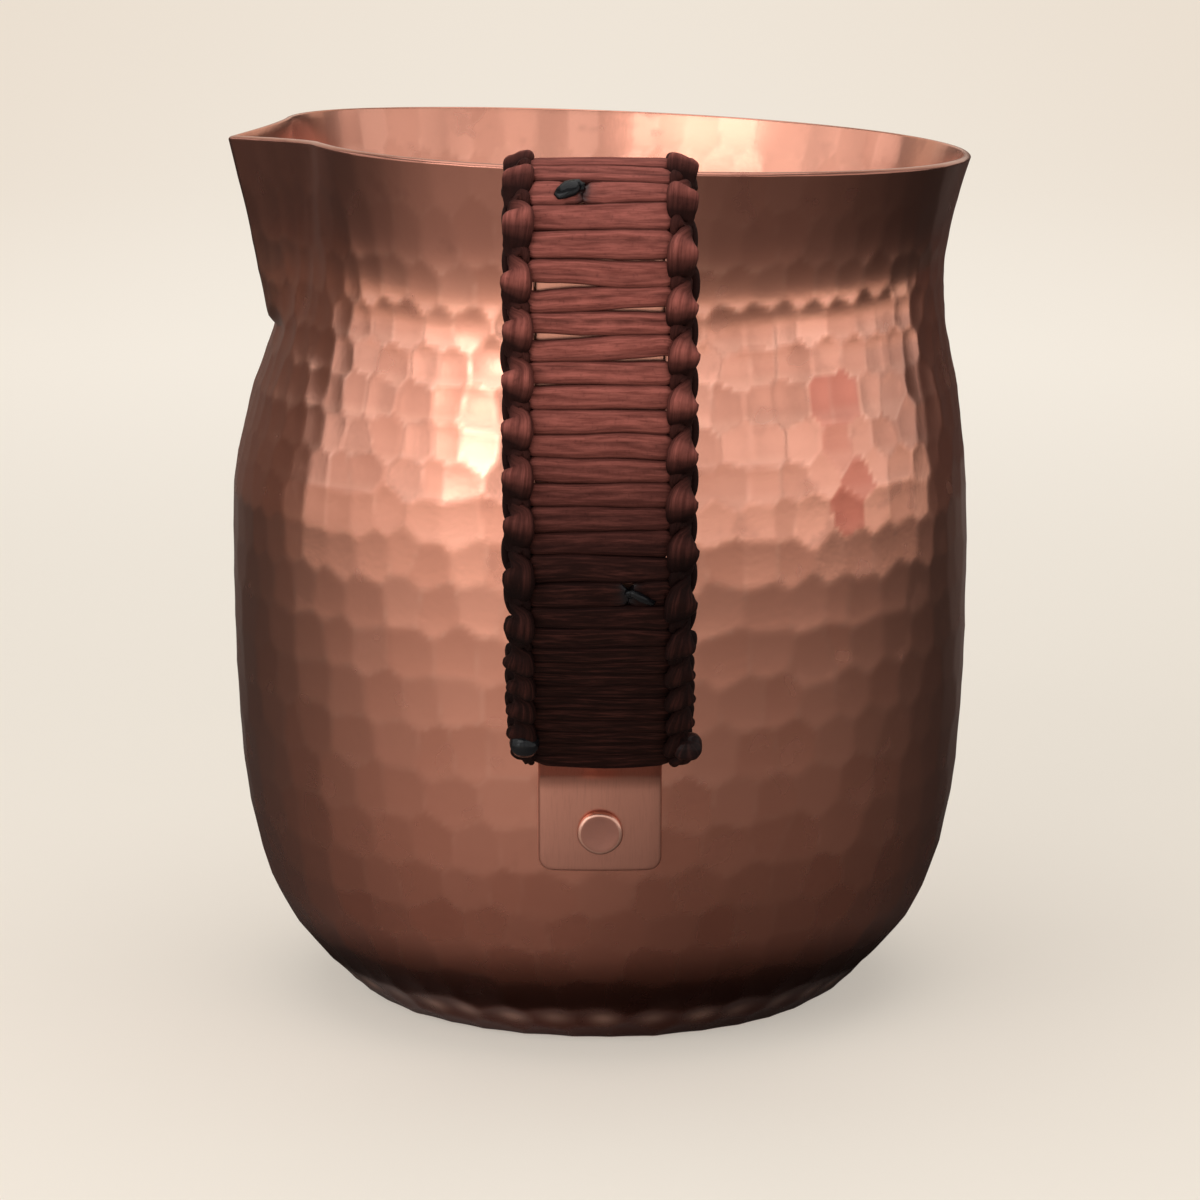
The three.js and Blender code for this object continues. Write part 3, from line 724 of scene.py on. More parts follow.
def strap_line():
    """The centre line as closely spaced points, each corner rounded to its bend radius."""
    corners = strap_corners()
    line = [np.array(corners[0][:2])]
    for before, here, after in zip(corners, corners[1:], corners[2:]):
        at, bend = np.array(here[:2]), here[2]
        if not bend:
            line.append(at)
            continue
        back = np.array(before[:2]) - at
        ahead = np.array(after[:2]) - at
        back, ahead = back / np.linalg.norm(back), ahead / np.linalg.norm(ahead)
        half = math.acos(np.clip(back @ ahead, -1, 1)) / 2
        inward = back + ahead
        centre = at + inward / np.linalg.norm(inward) * bend / math.sin(half)
        start = at + back * bend / math.tan(half) - centre
        end = at + ahead * bend / math.tan(half) - centre
        swing = math.atan2(start[0] * end[1] - start[1] * end[0], start @ end)
        for t in np.linspace(0, 1, 25):
            c, s = math.cos(swing * t), math.sin(swing * t)
            turned = [c * start[0] - s * start[1], s * start[0] + c * start[1]]
            line.append(centre + np.array(turned))
    line.append(np.array(corners[-1][:2]))
    return np.array(line)


STRAP_POINTS = strap_line()
STRAP_ALONG = lengths_along(STRAP_POINTS)
STRAP_LENGTH = STRAP_ALONG[-1]


def line_at(along):
    """Points of the strap's centre line and their outward normals."""
    along = np.clip(np.asarray(along, float), 0, STRAP_LENGTH)

    def point(at):
        return np.stack([np.interp(at, STRAP_ALONG, STRAP_POINTS[:, k]) for k in (0, 1)], -1)

    step = 0.35
    tangent = point(np.minimum(along + step, STRAP_LENGTH)) - point(np.maximum(along - step, 0))
    tangent /= np.linalg.norm(tangent, axis=-1, keepdims=True)
    return point(along), np.stack([tangent[..., 1], -tangent[..., 0]], -1)


def bend_at(along):
    """How sharply the strap bends, as one over the bend's radius."""
    step = 1.5
    _, before = line_at(along - step)
    _, after = line_at(along + step)
    turn = before[..., 0] * after[..., 1] - before[..., 1] * after[..., 0]
    return np.arcsin(np.clip(turn, -1, 1)) / (2 * step)


def strap_point(along, across, out):
    """The point at a length along the strap, across it to the right and out from its middle."""
    point, normal = line_at(along)
    out = np.asarray(out, float)
    return np.stack([
        np.asarray(across, float) + 0 * point[..., 0],
        -(point[..., 0] + out * normal[..., 0]),
        point[..., 1] + out * normal[..., 1],
    ], -1)


def strap_ring(along):
    """The strap's section: a flat bar with rounded edges, curved where it lies on the wall."""
    point, normal = line_at(along)
    from_end = min(along, STRAP_LENGTH - along)
    corner = min(from_end, TAB_CORNER)
    trimmed = TAB_CORNER - math.sqrt(max(0.0, TAB_CORNER ** 2 - (TAB_CORNER - corner) ** 2))
    end_round = math.sqrt(max(0.0, 1 - (1 - min(1.0, from_end / 0.45)) ** 2))
    half = STRAP_WIDTH / 2 - trimmed - 0.45 * (1 - end_round)
    deep = STRAP_THICKNESS / 2 * (0.5 + 0.5 * end_round)
    edge = min(EDGE_ROUND, deep * 0.75)
    flat = np.linspace(-1, 1, 13)
    quarter = [(edge * math.sin(a), edge * math.cos(a)) for a in np.linspace(0, math.pi / 2, 5)]
    wide, high = half - edge, deep - edge
    outline = [(x * wide, deep) for x in flat]
    outline += [(wide + s, high + c) for s, c in quarter[1:]]
    outline += [(wide + c, -high - s) for s, c in quarter]
    outline += [(x * wide, -deep) for x in flat[::-1][1:]]
    outline += [(-wide - s, -high - c) for s, c in quarter[1:]]
    outline += [(-wide - c, high + s) for s, c in quarter[:-1]]
    outline = np.array(outline)
    radius = wall_at(float(point[1]))[0]
    on_wall = float(share(point[0] - radius, SEAT + TAB_LIFT, SEAT))
    reach = point[0] + outline[:, 1] * normal[0]
    drop = on_wall * (reach - np.sqrt(reach ** 2 - outline[:, 0] ** 2))
    return np.stack([outline[:, 0], -(reach - drop), point[1] + outline[:, 1] * normal[1]], -1)


def build_strap(settings):
    """The strap as one closed bar, with its rings set closer at both ends."""
    ends = np.concatenate([[0.0, 0.06, 0.15, 0.3], np.arange(0.5, 3.0, 0.35)])
    middle = np.arange(3.2, STRAP_LENGTH - 3.2, 0.9)
    stations = np.concatenate([ends, middle, STRAP_LENGTH - ends[::-1]])
    rings = np.array([strap_ring(float(along)) for along in stations])
    sides = rings.shape[1]
    points = np.vstack([rings.reshape(-1, 3), rings[0].mean(0), rings[-1].mean(0)])
    made = mesh_object("jug_handle_strap", points, grid_faces(len(rings), sides)[:, ::-1])
    close_ends(made, len(rings), sides)
    recalculate(made)
    finish_piece(made, "handle_strap", strap_copper(settings.colours))


def recalculate(made):
    """Turns every face of a closed mesh outward."""
    shape = bmesh.new()
    shape.from_mesh(made.data)
    bmesh.ops.recalc_face_normals(shape, faces=shape.faces)
    shape.to_mesh(made.data)
    shape.free()


# ---- the rivets ----

def rivet_outline():
    """The rivet's half outline as radius and distance out from the wall, from inside to outside."""
    stand_off = SEAT_GAP + RIVET_HEAD_RADIUS ** 2 / (2 * RIVET_SEAT_ROUND)

    def head(start, sense):
        low = start + sense * stand_off
        rim = [(RIVET_HEAD_RADIUS, low), (RIVET_HEAD_RADIUS + 0.05, low + sense * 0.22)]
        dome = []
        for t in np.linspace(0, 1, 8):
            angle = t * math.pi / 2
            dome.append((
                RIVET_HEAD_RADIUS - 0.62 + 0.62 * math.cos(angle),
                low + sense * (0.3 + (RIVET_HEAD_HEIGHT - 0.3) * math.sin(angle)),
            ))
        face = [
            (r, low + sense * (RIVET_HEAD_HEIGHT - 0.14 * (1 - (r / 3.03) ** 2)))
            for r in (2.6, 1.9, 1.1, 0.5)
        ]
        return [(RIVET_SHANK_RADIUS, low)] + rim + dome + face

    outside = head(SEAT_GAP + STRAP_THICKNESS, 1)
    inside = head(-WALL, -1)[::-1]
    return inside + outside


def build_rivet(name, node, height, settings):
    radius, out, up = wall_at(height)
    origin = np.array([0, -radius, height])
    outward = np.array([0, -out, up])
    side = np.array([1.0, 0, 0])
    upward = np.cross(outward, side)
    outline = rivet_outline()
    count = 56
    random = np.random.default_rng(7 + int(height))
    turns = np.linspace(0, 2 * math.pi, count, endpoint=False)
    oval = 0.012 * np.sin(2 * turns + random.uniform(0, 6))
    uneven = 1 + oval + 0.008 * np.sin(5 * turns + random.uniform(0, 6))
    rings, edges = [], []
    for far, level in outline:
        wobble = uneven if far > RIVET_SHANK_RADIUS + 0.1 else 1 + 0 * uneven
        ring = origin + outward * level + (far * wobble)[:, None] * (
            np.cos(turns)[:, None] * side + np.sin(turns)[:, None] * upward
        )
        rings.append(ring)
        edges.append(np.full(count, 1.0 if far > RIVET_HEAD_RADIUS - 0.55 else 0.0))
    ends = [origin + outward * outline[0][1], origin + outward * outline[-1][1]]
    points = np.vstack([np.array(rings).reshape(-1, 3), ends])
    made = mesh_object(name, points, grid_faces(len(rings), count))
    close_ends(made, len(rings), count)
    recalculate(made)
    paint_values(made, "edge", np.concatenate([np.concatenate(edges), [0, 0]]))
    finish = bpy.data.materials.get("peened_copper") or rivet_copper(settings.colours)
    finish_piece(made, node, finish)


# ---- the lacing ----

STRAP_FACE = STRAP_THICKNESS / 2
STRAP_EDGE = STRAP_WIDTH / 2
BAR_LAYER = STRAP_FACE + CORD_GAP + BAR_THICKNESS / 2
INNER_LEG = STRAP_EDGE + CORD_GAP + SQUEEZED_THICKNESS / 2
OUTER_LEG = INNER_LEG + SQUEEZED_THICKNESS + SELF_GAP + LEG_SPACE
TURN_REACH = OUTER_LEG + SQUEEZED_THICKNESS + CORD_GAP
CROSS_LAYER = BAR_LAYER + BAR_THICKNESS / 2 + SELF_GAP + SQUEEZED_THICKNESS / 2 + CROSS_SPACE
BAR_SEEN = 0.98 * STRAP_EDGE


def lacing_reach():
    """Where the lacing starts and ends along the strap: as near the wall as it can pass."""
    def clear_of_wall(along):
        gaps = []
        for out in (-CROSS_LAYER - SQUEEZED_THICKNESS / 2, LEG_LAYER + LEG_THICKNESS / 2):
            point = strap_point(along, 0, out)
            gaps.append(-point[1] - wall_at(float(np.clip(point[2], 1, RIM_HEIGHT)))[0])
        return min(gaps)

    low = high = STRAP_LENGTH / 2
    while clear_of_wall(low) > LACING_FROM_WALL:
        low -= 0.1
    while clear_of_wall(high) > LACING_FROM_WALL:
        high += 0.1
    return low, high


LACING_LOW, LACING_HIGH = lacing_reach()
BARS = 2 * int((LACING_HIGH - LACING_LOW) / CORD_PITCH / 2)
PITCH = (LACING_HIGH - LACING_LOW) / BARS


def bar_along(bar):
    """Where the middle of a bar lies along the strap."""
    return LACING_HIGH - (bar + 0.5) * PITCH


def edge_along(bar):
    """Where a bar ends and the next one below it starts."""
    return bar_along(bar) - PITCH / 2


def arrive_side(bar):
    """The side of the strap, -1 or 1, at which the front cord ends a bar."""
    return -1 if (BARS - 1 - bar) % 2 == 0 else 1


def spread_at(along, out):
    """How much wider things lie at a layer than at the strap's middle, where the strap bends."""
    return 1 + out * float(bend_at(along))


class Route:
    """A cord's way over the strap, as stations that a rounded tube is drawn through."""

    def __init__(self):
        self.stations = []

    def add(
        self, along, across, out, facing, width, thickness, fold=0.0, melted=0.0, crease=0.0,
    ):
        """A place, the way the flat side faces, half sizes, and values for the finish."""
        self.stations.append({
            "place": (along, across, out), "facing": facing, "half": (width, thickness),
            "fold": fold, "melted": melted, "crease": crease,
        })

    def values(self, key):
        return np.array([station[key] for station in self.stations], float)


class Laces:
    """Lays the bars and turns of the front and back cords, with small unevenness."""

    # Gaps that stand open under these bars of the front cord, in millimetres at their wide end
    OPEN = {12: 1.35, 13: 0.85, 14: 1.15, 15: 0.75, 16: 0.35, 17: 0.3}

    def __init__(self, sizes):
        random = np.random.default_rng(sizes.lacing_seed)
        self.tilt = random.uniform(-0.3, 0.3, BARS + 1) * sizes.bar_slope
        self.wave = random.uniform(-0.13, 0.13, (BARS + 1, 2))
        self.open = random.uniform(0.0, 0.22, BARS + 1)
        for bar, gap in self.OPEN.items():
            self.open[bar] = gap * sizes.bar_slope
        self.height = random.uniform(-0.1, 0.12, BARS)
        self.pips = random.uniform(-0.16, 0.16, (BARS + 2, 4))
        self.crease = random.uniform(-0.5, 0.5, BARS)

    def seam(self, bar, across):
        """Middle and width of the gap below a bar, at a place across the strap."""
        share_across = across / STRAP_EDGE
        middle = edge_along(bar) + self.tilt[bar] * share_across
        waves = [math.cos(2.2 * share_across), math.sin(4.4 * share_across)]
        middle += float(self.wave[bar] @ waves)
        if bar == BARS - 1:
            middle -= 0.75 * (1 - share_across ** 2)
        opened = float(share(0.22 - arrive_side(bar) * share_across, 0, 1.15))
        gap = -0.14 + self.open[bar] * opened
        return middle, gap

    def front_bar(self, route, bar, start, stop):
        """A bar of the front cord, between the seams above and below it."""
        for t in np.linspace(0, 1, 9):
            across = start + (stop - start) * t
            top, gap_above = self.seam(bar - 1, across)
            low, gap_below = self.seam(bar, across)
            top, low = top - gap_above / 2, low + gap_below / 2
            along = (top + low) / 2
            bulge = 0.14 * math.sin(math.pi * t)
            route.add(
                along, across, BAR_LAYER - 0.15 + self.height[bar] * 0.5 + bulge, (0, 1),
                (top - low) / 2 * spread_at(along, BAR_LAYER), BAR_THICKNESS / 2 * 0.98,
                crease=self.crease[bar],
            )

    def front_turn(self, route, bar, parts=("shoulder", "high", "low", "end")):
        """The front cord's turn round the strap's edge, down to the next bar."""
        side = arrive_side(bar)
        middle = edge_along(bar)
        rise, reach, _, _ = self.pips[bar]
        thin = SQUEEZED_THICKNESS / 2
        edge, beyond = side * (STRAP_EDGE + 1.2), side * (TURN_REACH - 1.05 + reach)
        last = side * (STRAP_EDGE + 0.9)
        # The last value of each step is painted shade where the cord turns round the strap's edge.
        steps = {
            "shoulder": (middle + 1.95, edge, BAR_LAYER - 0.5, (0.35 * side, 1), 1.35, thin, 0.9),
            "high": (middle + 1.9 + rise, beyond, -0.7, (side, 0.2), 1.15, thin, 1.0),
            "low": (middle - 1.9 + rise, beyond, -0.7, (side, 0.2), 1.15, thin, 1.0),
            "end": (middle - 1.95, edge, BAR_LAYER - 0.5, (0.35 * side, 1), 1.35, thin, 0.95),
            "last": (middle + 3.1, last, BAR_LAYER, (0.3 * side, 1), 1.0, thin, 0.9),
        }
        for part in parts:
            route.add(*steps[part])

    def singed(self, route, bar, across, heading, ending, drop):
        """A cut end melted black; where it has a drop, that is folded back on top of the bar."""
        along = bar_along(bar)
        half = PITCH / 2 * spread_at(along, BAR_LAYER)
        toward = heading if ending else -heading
        # Back from the cut, lift, rise along the strap, facing, width, thickness and melted
        steps = [(2.4, 0.0, 0.0, (0, 1), 1.0, 0.95, 0.0), (1.2, 0.02, 0.0, (0, 1), 0.98, 1.0, 0.2)]
        if drop:
            steps += [
                (0.25, 0.2, 0.05, (0.3, 1), 0.8, 0.85, 0.85),
                (-0.1, 0.75, 0.3, (1, 0.2), 0.5 * drop, 0.7, 1.0),
                (0.5, 1.25, 0.55, (0.3, -1), 0.75 * drop, 0.85, 1.0),
                (1.8, 1.4, 0.0, (0, -1), 1.0 * drop, 1.0, 1.0),
                (3.1, 1.15, -0.7, (0, -1), 0.75 * drop, 0.75, 1.0),
                (3.9, 0.95, -1.1, (0, -1), 0.25, 0.3, 1.0),
            ]
        else:
            steps += [
                (0.5, 0.1, 0.05, (0, 1), 0.9, 0.9, 0.75),
                (0.0, 0.12, 0.15, (0, 1), 0.62, 0.75, 1.0),
                (-0.35, 0.1, 0.25, (0, 1), 0.2, 0.3, 1.0),
            ]
        for back, lift, rise, facing, wide, deep, melted in steps if ending else steps[::-1]:
            route.add(
                along + rise, across - toward * back, BAR_LAYER + lift * 0.85,
                (toward * facing[0], facing[1]), half * wide, BAR_THICKNESS / 2 * deep * 0.85,
                melted=melted,
            )

    def front(self, first, last):
        """One length of the front cord between two places, each a bar and a place across it."""
        route = Route()
        if first["bar"] == 0 and first["whole"]:
            self.front_turn(route, -1, ("low", "end"))
        for bar in range(first["bar"], last["bar"] + 1):
            side = arrive_side(bar)
            start, stop = -side * BAR_SEEN, side * BAR_SEEN
            if bar == first["bar"] and not first["whole"]:
                start = first["across"] + side * 3.0
                self.singed(route, bar, first["across"], side, False, first["drop"])
            if bar == last["bar"] and not last["whole"]:
                stop = last["across"] - side * 3.0
            if bar == BARS - 1:
                stop = side * (STRAP_EDGE - 1.7)
            self.front_bar(route, bar, start, stop)
            if bar == last["bar"] and not last["whole"]:
                self.singed(route, bar, last["across"], side, True, last["drop"])
            if bar < last["bar"]:
                self.front_turn(route, bar)
        if last["whole"]:
            self.front_turn(route, BARS - 1, ("last",))
            side = arrive_side(BARS - 1)
            self.bead(route, LACING_LOW + 10.8, side * (OUTER_LEG - 1.2), 4.5, 1.0)
        return route

    def bead(self, route, along, across, out, burnt):
        """A cut end melted to a bead: black at burnt 1, still brown where it is less."""
        before = route.stations[-1]["place"][0]
        heading = 1 if along > before else -1
        for t in np.linspace(-0.92, 0.96, 8):
            size = math.sqrt(1 - t * t) * MELTED_BEAD * (1.08 if t > 0 else 1.0)
            size = max(size, 0.25)
            place = along + heading * t * MELTED_BEAD
            route.add(place, across, out, (0, 1), size, size, melted=burnt)

    def back_bar(self, route, bar):
        """The back cord's way inside the leg, behind the strap and out round the turn."""
        side = arrive_side(bar)
        along, below = bar_along(bar), edge_along(bar)
        above = below + PITCH
        if bar == BARS - 1:
            below += 1.5
        wide = PITCH / 2 * spread_at(along, -BAR_LAYER) * 0.84
        tight, thin = 1.15, SQUEEZED_THICKNESS / 2
        thick = BAR_THICKNESS / 2
        inner, outer = side * INNER_LEG, -side * OUTER_LEG
        top, low, cross = LEG_LAYER - 0.35, -BAR_LAYER - 0.2, -CROSS_LAYER
        # The seventh value, where there is one, is painted shade where the cord turns round the
        # strap's edges.
        for station in (
            (below + 0.95, side * (INNER_LEG + 0.55), top, (0.4 * side, 1), tight, thin, 0.9),
            (below + 0.15, inner, 1.9, (side, 0), tight, thin, 0.9),
            (below, side * (INNER_LEG - 0.05), -STRAP_FACE - 0.7, (side, -0.4), tight, thin, 0.4),
            (below + 0.2 * PITCH, side * (STRAP_EDGE - 0.8), low, (0, -1), 1.3, thin, 0.3),
            (along, side * 0.55 * STRAP_EDGE, -BAR_LAYER, (0, -1), wide, thick),
            (along, -side * 0.42 * STRAP_EDGE, -BAR_LAYER, (0, -1), wide, thick),
            (along + 0.1 * PITCH, -side * 0.7 * STRAP_EDGE, cross + 0.4, (0, -1), 1.45, thin),
            (above - 0.08 * PITCH, -side * (STRAP_EDGE - 0.2), cross, (0, -1), 1.35, thin),
            (above, -side * (OUTER_LEG - 0.8), cross + 0.8, (-side, -1), tight, thin, 0.2),
            (above, outer, -STRAP_FACE - 0.4, (-side, 0), tight, thin, 0.5),
            (above - 0.05, outer, 1.3, (-side, 0), 1.25, thin, 1.0),
        ):
            route.add(*station)

    def back_leg(self, route, bar, parts=5):
        """A pip: the back cord swells up over two bars at the edge and sinks again below."""
        side = -arrive_side(bar)
        middle = edge_along(bar)
        rise, reach, deep, fat = self.pips[bar]
        sunk = 1.0 if bar == BARS - 2 else 0.0
        _, normal = line_at(np.array([middle]))
        crown = 1.9 * max(0.0, float(normal[0, 1]) - 0.4)
        # The last value of each station is painted shade: a lit upper half of the pip, a dark lower
        # half that faces down; the sunk pip is darker all over.
        for shift, lean, out, wide, thick, fold in (
            (2.35, 0.3, 2.75, 1.9, 0.85, 0.5), (1.35, 0.1, 3.75, 2.5, 1.2, 0.0),
            (0.2, 0.0, 3.6, 2.5, 1.2, 0.8), (-0.9, -0.15, 2.85, 2.35, 1.0, 1.0),
            (-2.2, -0.35, 1.75, 1.9, 0.8, 1.0),
        )[:parts]:
            route.add(
                middle + shift + rise * 0.8, side * (OUTER_LEG - 0.72 + reach) + lean,
                out + deep * 0.6 - sunk - crown, (0.35 * side, 1),
                (wide + fat * 0.6) * (1 - 0.2 * sunk), thick,
                fold=max(fold, sunk * 0.8), crease=fat * 2,
            )

    def back(self):
        """The whole back cord, from the top of the grip to its melted end."""
        route = Route()
        self.back_leg(route, -1)
        for bar in range(BARS):
            self.back_bar(route, bar)
            if bar + 1 < BARS:
                self.back_leg(route, bar)
        self.back_leg(route, BARS - 1, 1)
        side = -arrive_side(BARS - 1)
        self.bead(route, LACING_LOW + 8.1, side * (OUTER_LEG + 0.7), 3.6, 0.3)
        return route


def smooth_run(values, times, wanted):
    """Values between stations on a centripetal Catmull-Rom curve."""
    count = len(times)
    slot = np.clip(np.searchsorted(times, wanted, side="right") - 1, 0, count - 2)
    ids = [np.clip(slot + k, 0, count - 1) for k in (-1, 0, 1, 2)]
    p = [values[i] for i in ids]
    t = [times[i].astype(float) for i in ids]
    t[0] = np.where(slot == 0, t[1] - (t[2] - t[1]), t[0])
    t[3] = np.where(slot == count - 2, t[2] + (t[2] - t[1]), t[3])

    def between(a, b, ta, tb):
        f = ((wanted - ta) / (tb - ta))[:, None]
        return a * (1 - f) + b * f

    a1, a2, a3 = (between(p[k], p[k + 1], t[k], t[k + 1]) for k in range(3))
    b1, b2 = between(a1, a2, t[0], t[2]), between(a2, a3, t[1], t[3])
    return between(b1, b2, t[1], t[2])


# Vertices round a cord, and how far its section is squared off
CORD_SIDES = 22
CORD_SQUARENESS = 2 / 2.7


def cord_mesh(name, route, sizes):
    """A cord as one closed tube with a soft flat section, creases and slightly uneven width."""
    place = route.values("place")
    points = strap_point(place[:, 0], place[:, 1], place[:, 2])
    chord = np.linalg.norm(np.diff(points, axis=0), axis=1)
    times = np.concatenate([[0], np.cumsum(np.sqrt(np.maximum(chord, 0.05)))])
    pieces = [np.linspace(a, b, max(2, int(c / sizes.cord_step) + 1), endpoint=False)
              for a, b, c in zip(times, times[1:], chord)]
    wanted = np.concatenate(pieces + [[times[-1]]])
    spot = smooth_run(place, times, wanted)
    centre = strap_point(spot[:, 0], spot[:, 1], spot[:, 2])
    facing, half, extra = (
        np.stack([np.interp(wanted, times, column) for column in values.T], -1)
        for values in (
            route.values("facing"), route.values("half"),
            np.stack([route.values(key) for key in ("fold", "melted", "crease")], -1),
        )
    )
    ahead = np.gradient(centre, axis=0)
    ahead /= np.linalg.norm(ahead, axis=1)[:, None]
    _, normal = line_at(spot[:, 0])
    flat = np.stack([facing[:, 0], -facing[:, 1] * normal[:, 0], facing[:, 1] * normal[:, 1]], -1)
    wide = np.cross(ahead, flat)
    wide /= np.linalg.norm(wide, axis=1)[:, None]
    flat = np.cross(wide, ahead)
    run = lengths_along(centre)
    random = np.random.default_rng(sizes.lacing_seed + len(wanted))
    knots = np.arange(0, run[-1] + 6, 2.2)
    waver = np.interp(run, knots, random.uniform(-1, 1, len(knots)))
    sides = CORD_SIDES
    angle = np.arange(sides) * 2 * math.pi / sides
    cx, cy = (np.sign(v) * np.abs(v) ** CORD_SQUARENESS for v in (np.cos(angle), np.sin(angle)))
    solid = 1 - extra[:, 1]
    x = half[:, :1] * (1 + 0.025 * waver[:, None] * solid[:, None]) * cx
    y = half[:, 1:] * np.where(solid[:, None] > 0.5, cy, np.sin(angle))
    crease_at = extra[:, 2] + 0.12 * waver
    groove = np.exp(-((cx - crease_at[:, None]) / 0.16) ** 2) * np.abs(cy)
    second = np.exp(-((cx + 0.55 * crease_at[:, None] - 0.25) / 0.14) ** 2) * np.abs(cy) * 0.55
    y *= 1 - sizes.crease_depth * (groove + second) * solid[:, None]
    rings = centre[:, None, :] - wide[:, None, :] * x[..., None] + flat[:, None, :] * y[..., None]
    points = np.vstack([rings.reshape(-1, 3), centre[0], centre[-1]])
    made = mesh_object(name, points, grid_faces(len(rings), sides))
    close_ends(made, len(rings), sides)
    recalculate(made)
    # Painted shade at the edges of the section, on its underside and in its creases, joined with
    # the route's painted shade.
    edge_shade = np.clip((np.abs(cx) - 0.66) / 0.34, 0, 1)[None, :] ** 1.5 * 0.75
    offset = rings - centre[:, None, :]
    under = np.clip(-offset[..., 2] / np.maximum(half[:, :1], 0.3) - 0.25, 0, 1) * 0.8
    crease_shade = np.maximum(under, (groove + second) * 0.5)
    fold = np.maximum(np.maximum(extra[:, :1], edge_shade), crease_shade) * solid[:, None]
    for key, values in (("fold", fold), ("melted", np.repeat(extra[:, 1:2], sides, 1))):
        kept = [np.clip(values, 0, 1).ravel(), values[0, :1], values[-1, :1]]
        paint_values(made, key, np.concatenate(kept))
    girth = np.abs(angle / (2 * math.pi) * 10.0 - 5.0)
    top = np.where(np.sin(angle) > 0, 3.0, 0.0) * np.abs(np.sin(angle))
    columns = [np.broadcast_to(v, offset.shape[:2]) for v in (run[:, None], girth, top)]
    flat_lay = np.stack(columns, -1).reshape(-1, 3)
    paint_places(made, "run", np.vstack([flat_lay, flat_lay[0], flat_lay[-1]]))
    return made


def build_cord(name, node, route, settings):
    made = cord_mesh(name, route, settings.sizes)
    finish = bpy.data.materials.get("waxed_cord") or lacing_cord(settings.colours)
    finish_piece(made, node, finish)


# ---- floor, light and camera ----

# The camera of the photograph: its place in metres, its look down, and its focus in pixels
CAMERA_PLACE = (0.0, -0.750, 0.2091)
CAMERA_LOOK_DOWN = 10.67
PHOTO_FOCUS, PHOTO_WIDTH = 4339, 1200
SENSOR_WIDTH = 36.0


def plain_finish(name, colour):
    """A dull finish of one colour."""
    finish = Finish(name)
    finish.set(Base_Color=tuple(colour), Roughness=0.9, Specular_IOR_Level=0.1)
    return finish


def build_floor(settings):
    """A pale floor that curves up into a backdrop well behind the jug."""
    widths = np.linspace(-3000, 3000, 25)
    line = [(-6000.0 + 250 * i, 0.0) for i in range(18)]
    line += [(-1500.0 + 100 * i, 0.0) for i in range(31)]
    bend = 900.0
    for a in np.linspace(0, math.pi / 2, 13)[1:]:
        line.append((1500 + bend * math.sin(a), bend * (1 - math.cos(a))))
    line += [(2400.0, 900 + 300.0 * i) for i in range(1, 7)]
    points = [(x, y, z) for y, z in line for x in widths]
    faces = []
    for row in range(len(line) - 1):
        for column in range(len(widths) - 1):
            low = row * len(widths) + column
            high = low + len(widths)
            faces.append((low, low + 1, high + 1, high))
    made = mesh_object("pale_floor", points, faces)
    made.data.materials.append(pale_paper(settings.colours))


def pale_paper(colours):
    """Pale paper, a little brighter in the middle, that the camera and the metal see as bright."""
    finish = plain_finish("pale_paper", colours.floor)
    spread = finish.scaled(finish.places(), (1.9, 0.42, 1.0))
    far = finish.node(
        "ShaderNodeVectorMath", {"operation": "DISTANCE"}, {0: spread, 1: (0.0, 0.2, 0.0)},
        output="Value",
    )
    glow = finish.blend(finish.levels(far, 0.15, 1.0), colours.paper, colours.paper_edge)
    bright = finish.node("ShaderNodeEmission", None, {"Color": glow, "Strength": 1.0})
    rays = [finish.node("ShaderNodeLightPath", output=name)
            for name in ("Is Camera Ray", "Is Glossy Ray", "Is Transmission Ray")]
    seen = (rays[0] + rays[1] + rays[2]).held()
    plain = Value(finish, finish.shader.outputs[0])
    behind = finish.node("ShaderNodeSeparateXYZ", None, {0: finish.places()}, output="Y")
    lit = finish.levels(behind, 0.15, 0.9, 0.4, 0.85)
    beyond_lamps = rays[0] * finish.levels(behind, -1.1, -1.6, 0.0, 0.5)
    shown = seen * lit + beyond_lamps
    finish.show(finish.node("ShaderNodeMixShader", None, {0: shown, 1: plain, 2: bright}))
    return finish.material


def aim(made, target):
    """Turns a lamp toward a point."""
    way = Vector(target) - made.location
    made.rotation_euler = way.to_track_quat("-Z", "Y").to_euler()


LAMP_COLOUR = (0.99, 0.99, 0.98)


def soft_box(name, place, target, size, level):
    """A rectangular soft lamp whose face shines at the given level."""
    lamp = bpy.data.lights.new(name, "AREA")
    lamp.shape = "RECTANGLE"
    lamp.size, lamp.size_y = size
    lamp.energy = level * math.pi * size[0] * size[1]
    lamp.color = LAMP_COLOUR
    made = bpy.data.objects.new(name, lamp)
    bpy.context.scene.collection.objects.link(made)
    made.location = place
    aim(made, target)
    made.visible_camera = False


def around(turn, distance, height):
    """A place round the jug, in metres; turn 0 is the camera's side and grows to the right."""
    angle = math.radians(turn)
    return (distance * math.sin(angle), -distance * math.cos(angle), height)


def dark_card(name, points, faces, finish):
    """A tinted card that only the jug's reflections see, as is usual round polished metal."""
    made = mesh_object(name, points, faces, smooth=False)
    made.data.materials.append(finish.material)
    made.visible_camera = False
    made.visible_shadow = False
    made.visible_diffuse = False
    return made


def side_cards():
    """Two dark brown cards that stand beside and behind the jug."""
    for side, name, start, colour in (
        (-1, "left", 102, (0.17, 0.132, 0.118)), (1, "right", 116, (0.08, 0.055, 0.05)),
    ):
        turns = np.linspace(start, 179, 9) * side
        low = [np.array(around(turn, 0.7, -0.02)) / MM for turn in turns]
        high = [np.array(around(turn, 0.7, 0.235)) / MM for turn in turns]
        count = len(turns)
        faces = [(i, i + 1, count + i + 1, count + i) for i in range(count - 1)]
        dark_card(f"side_card_{name}", low + high, faces, plain_finish(f"side_card_{name}", colour))


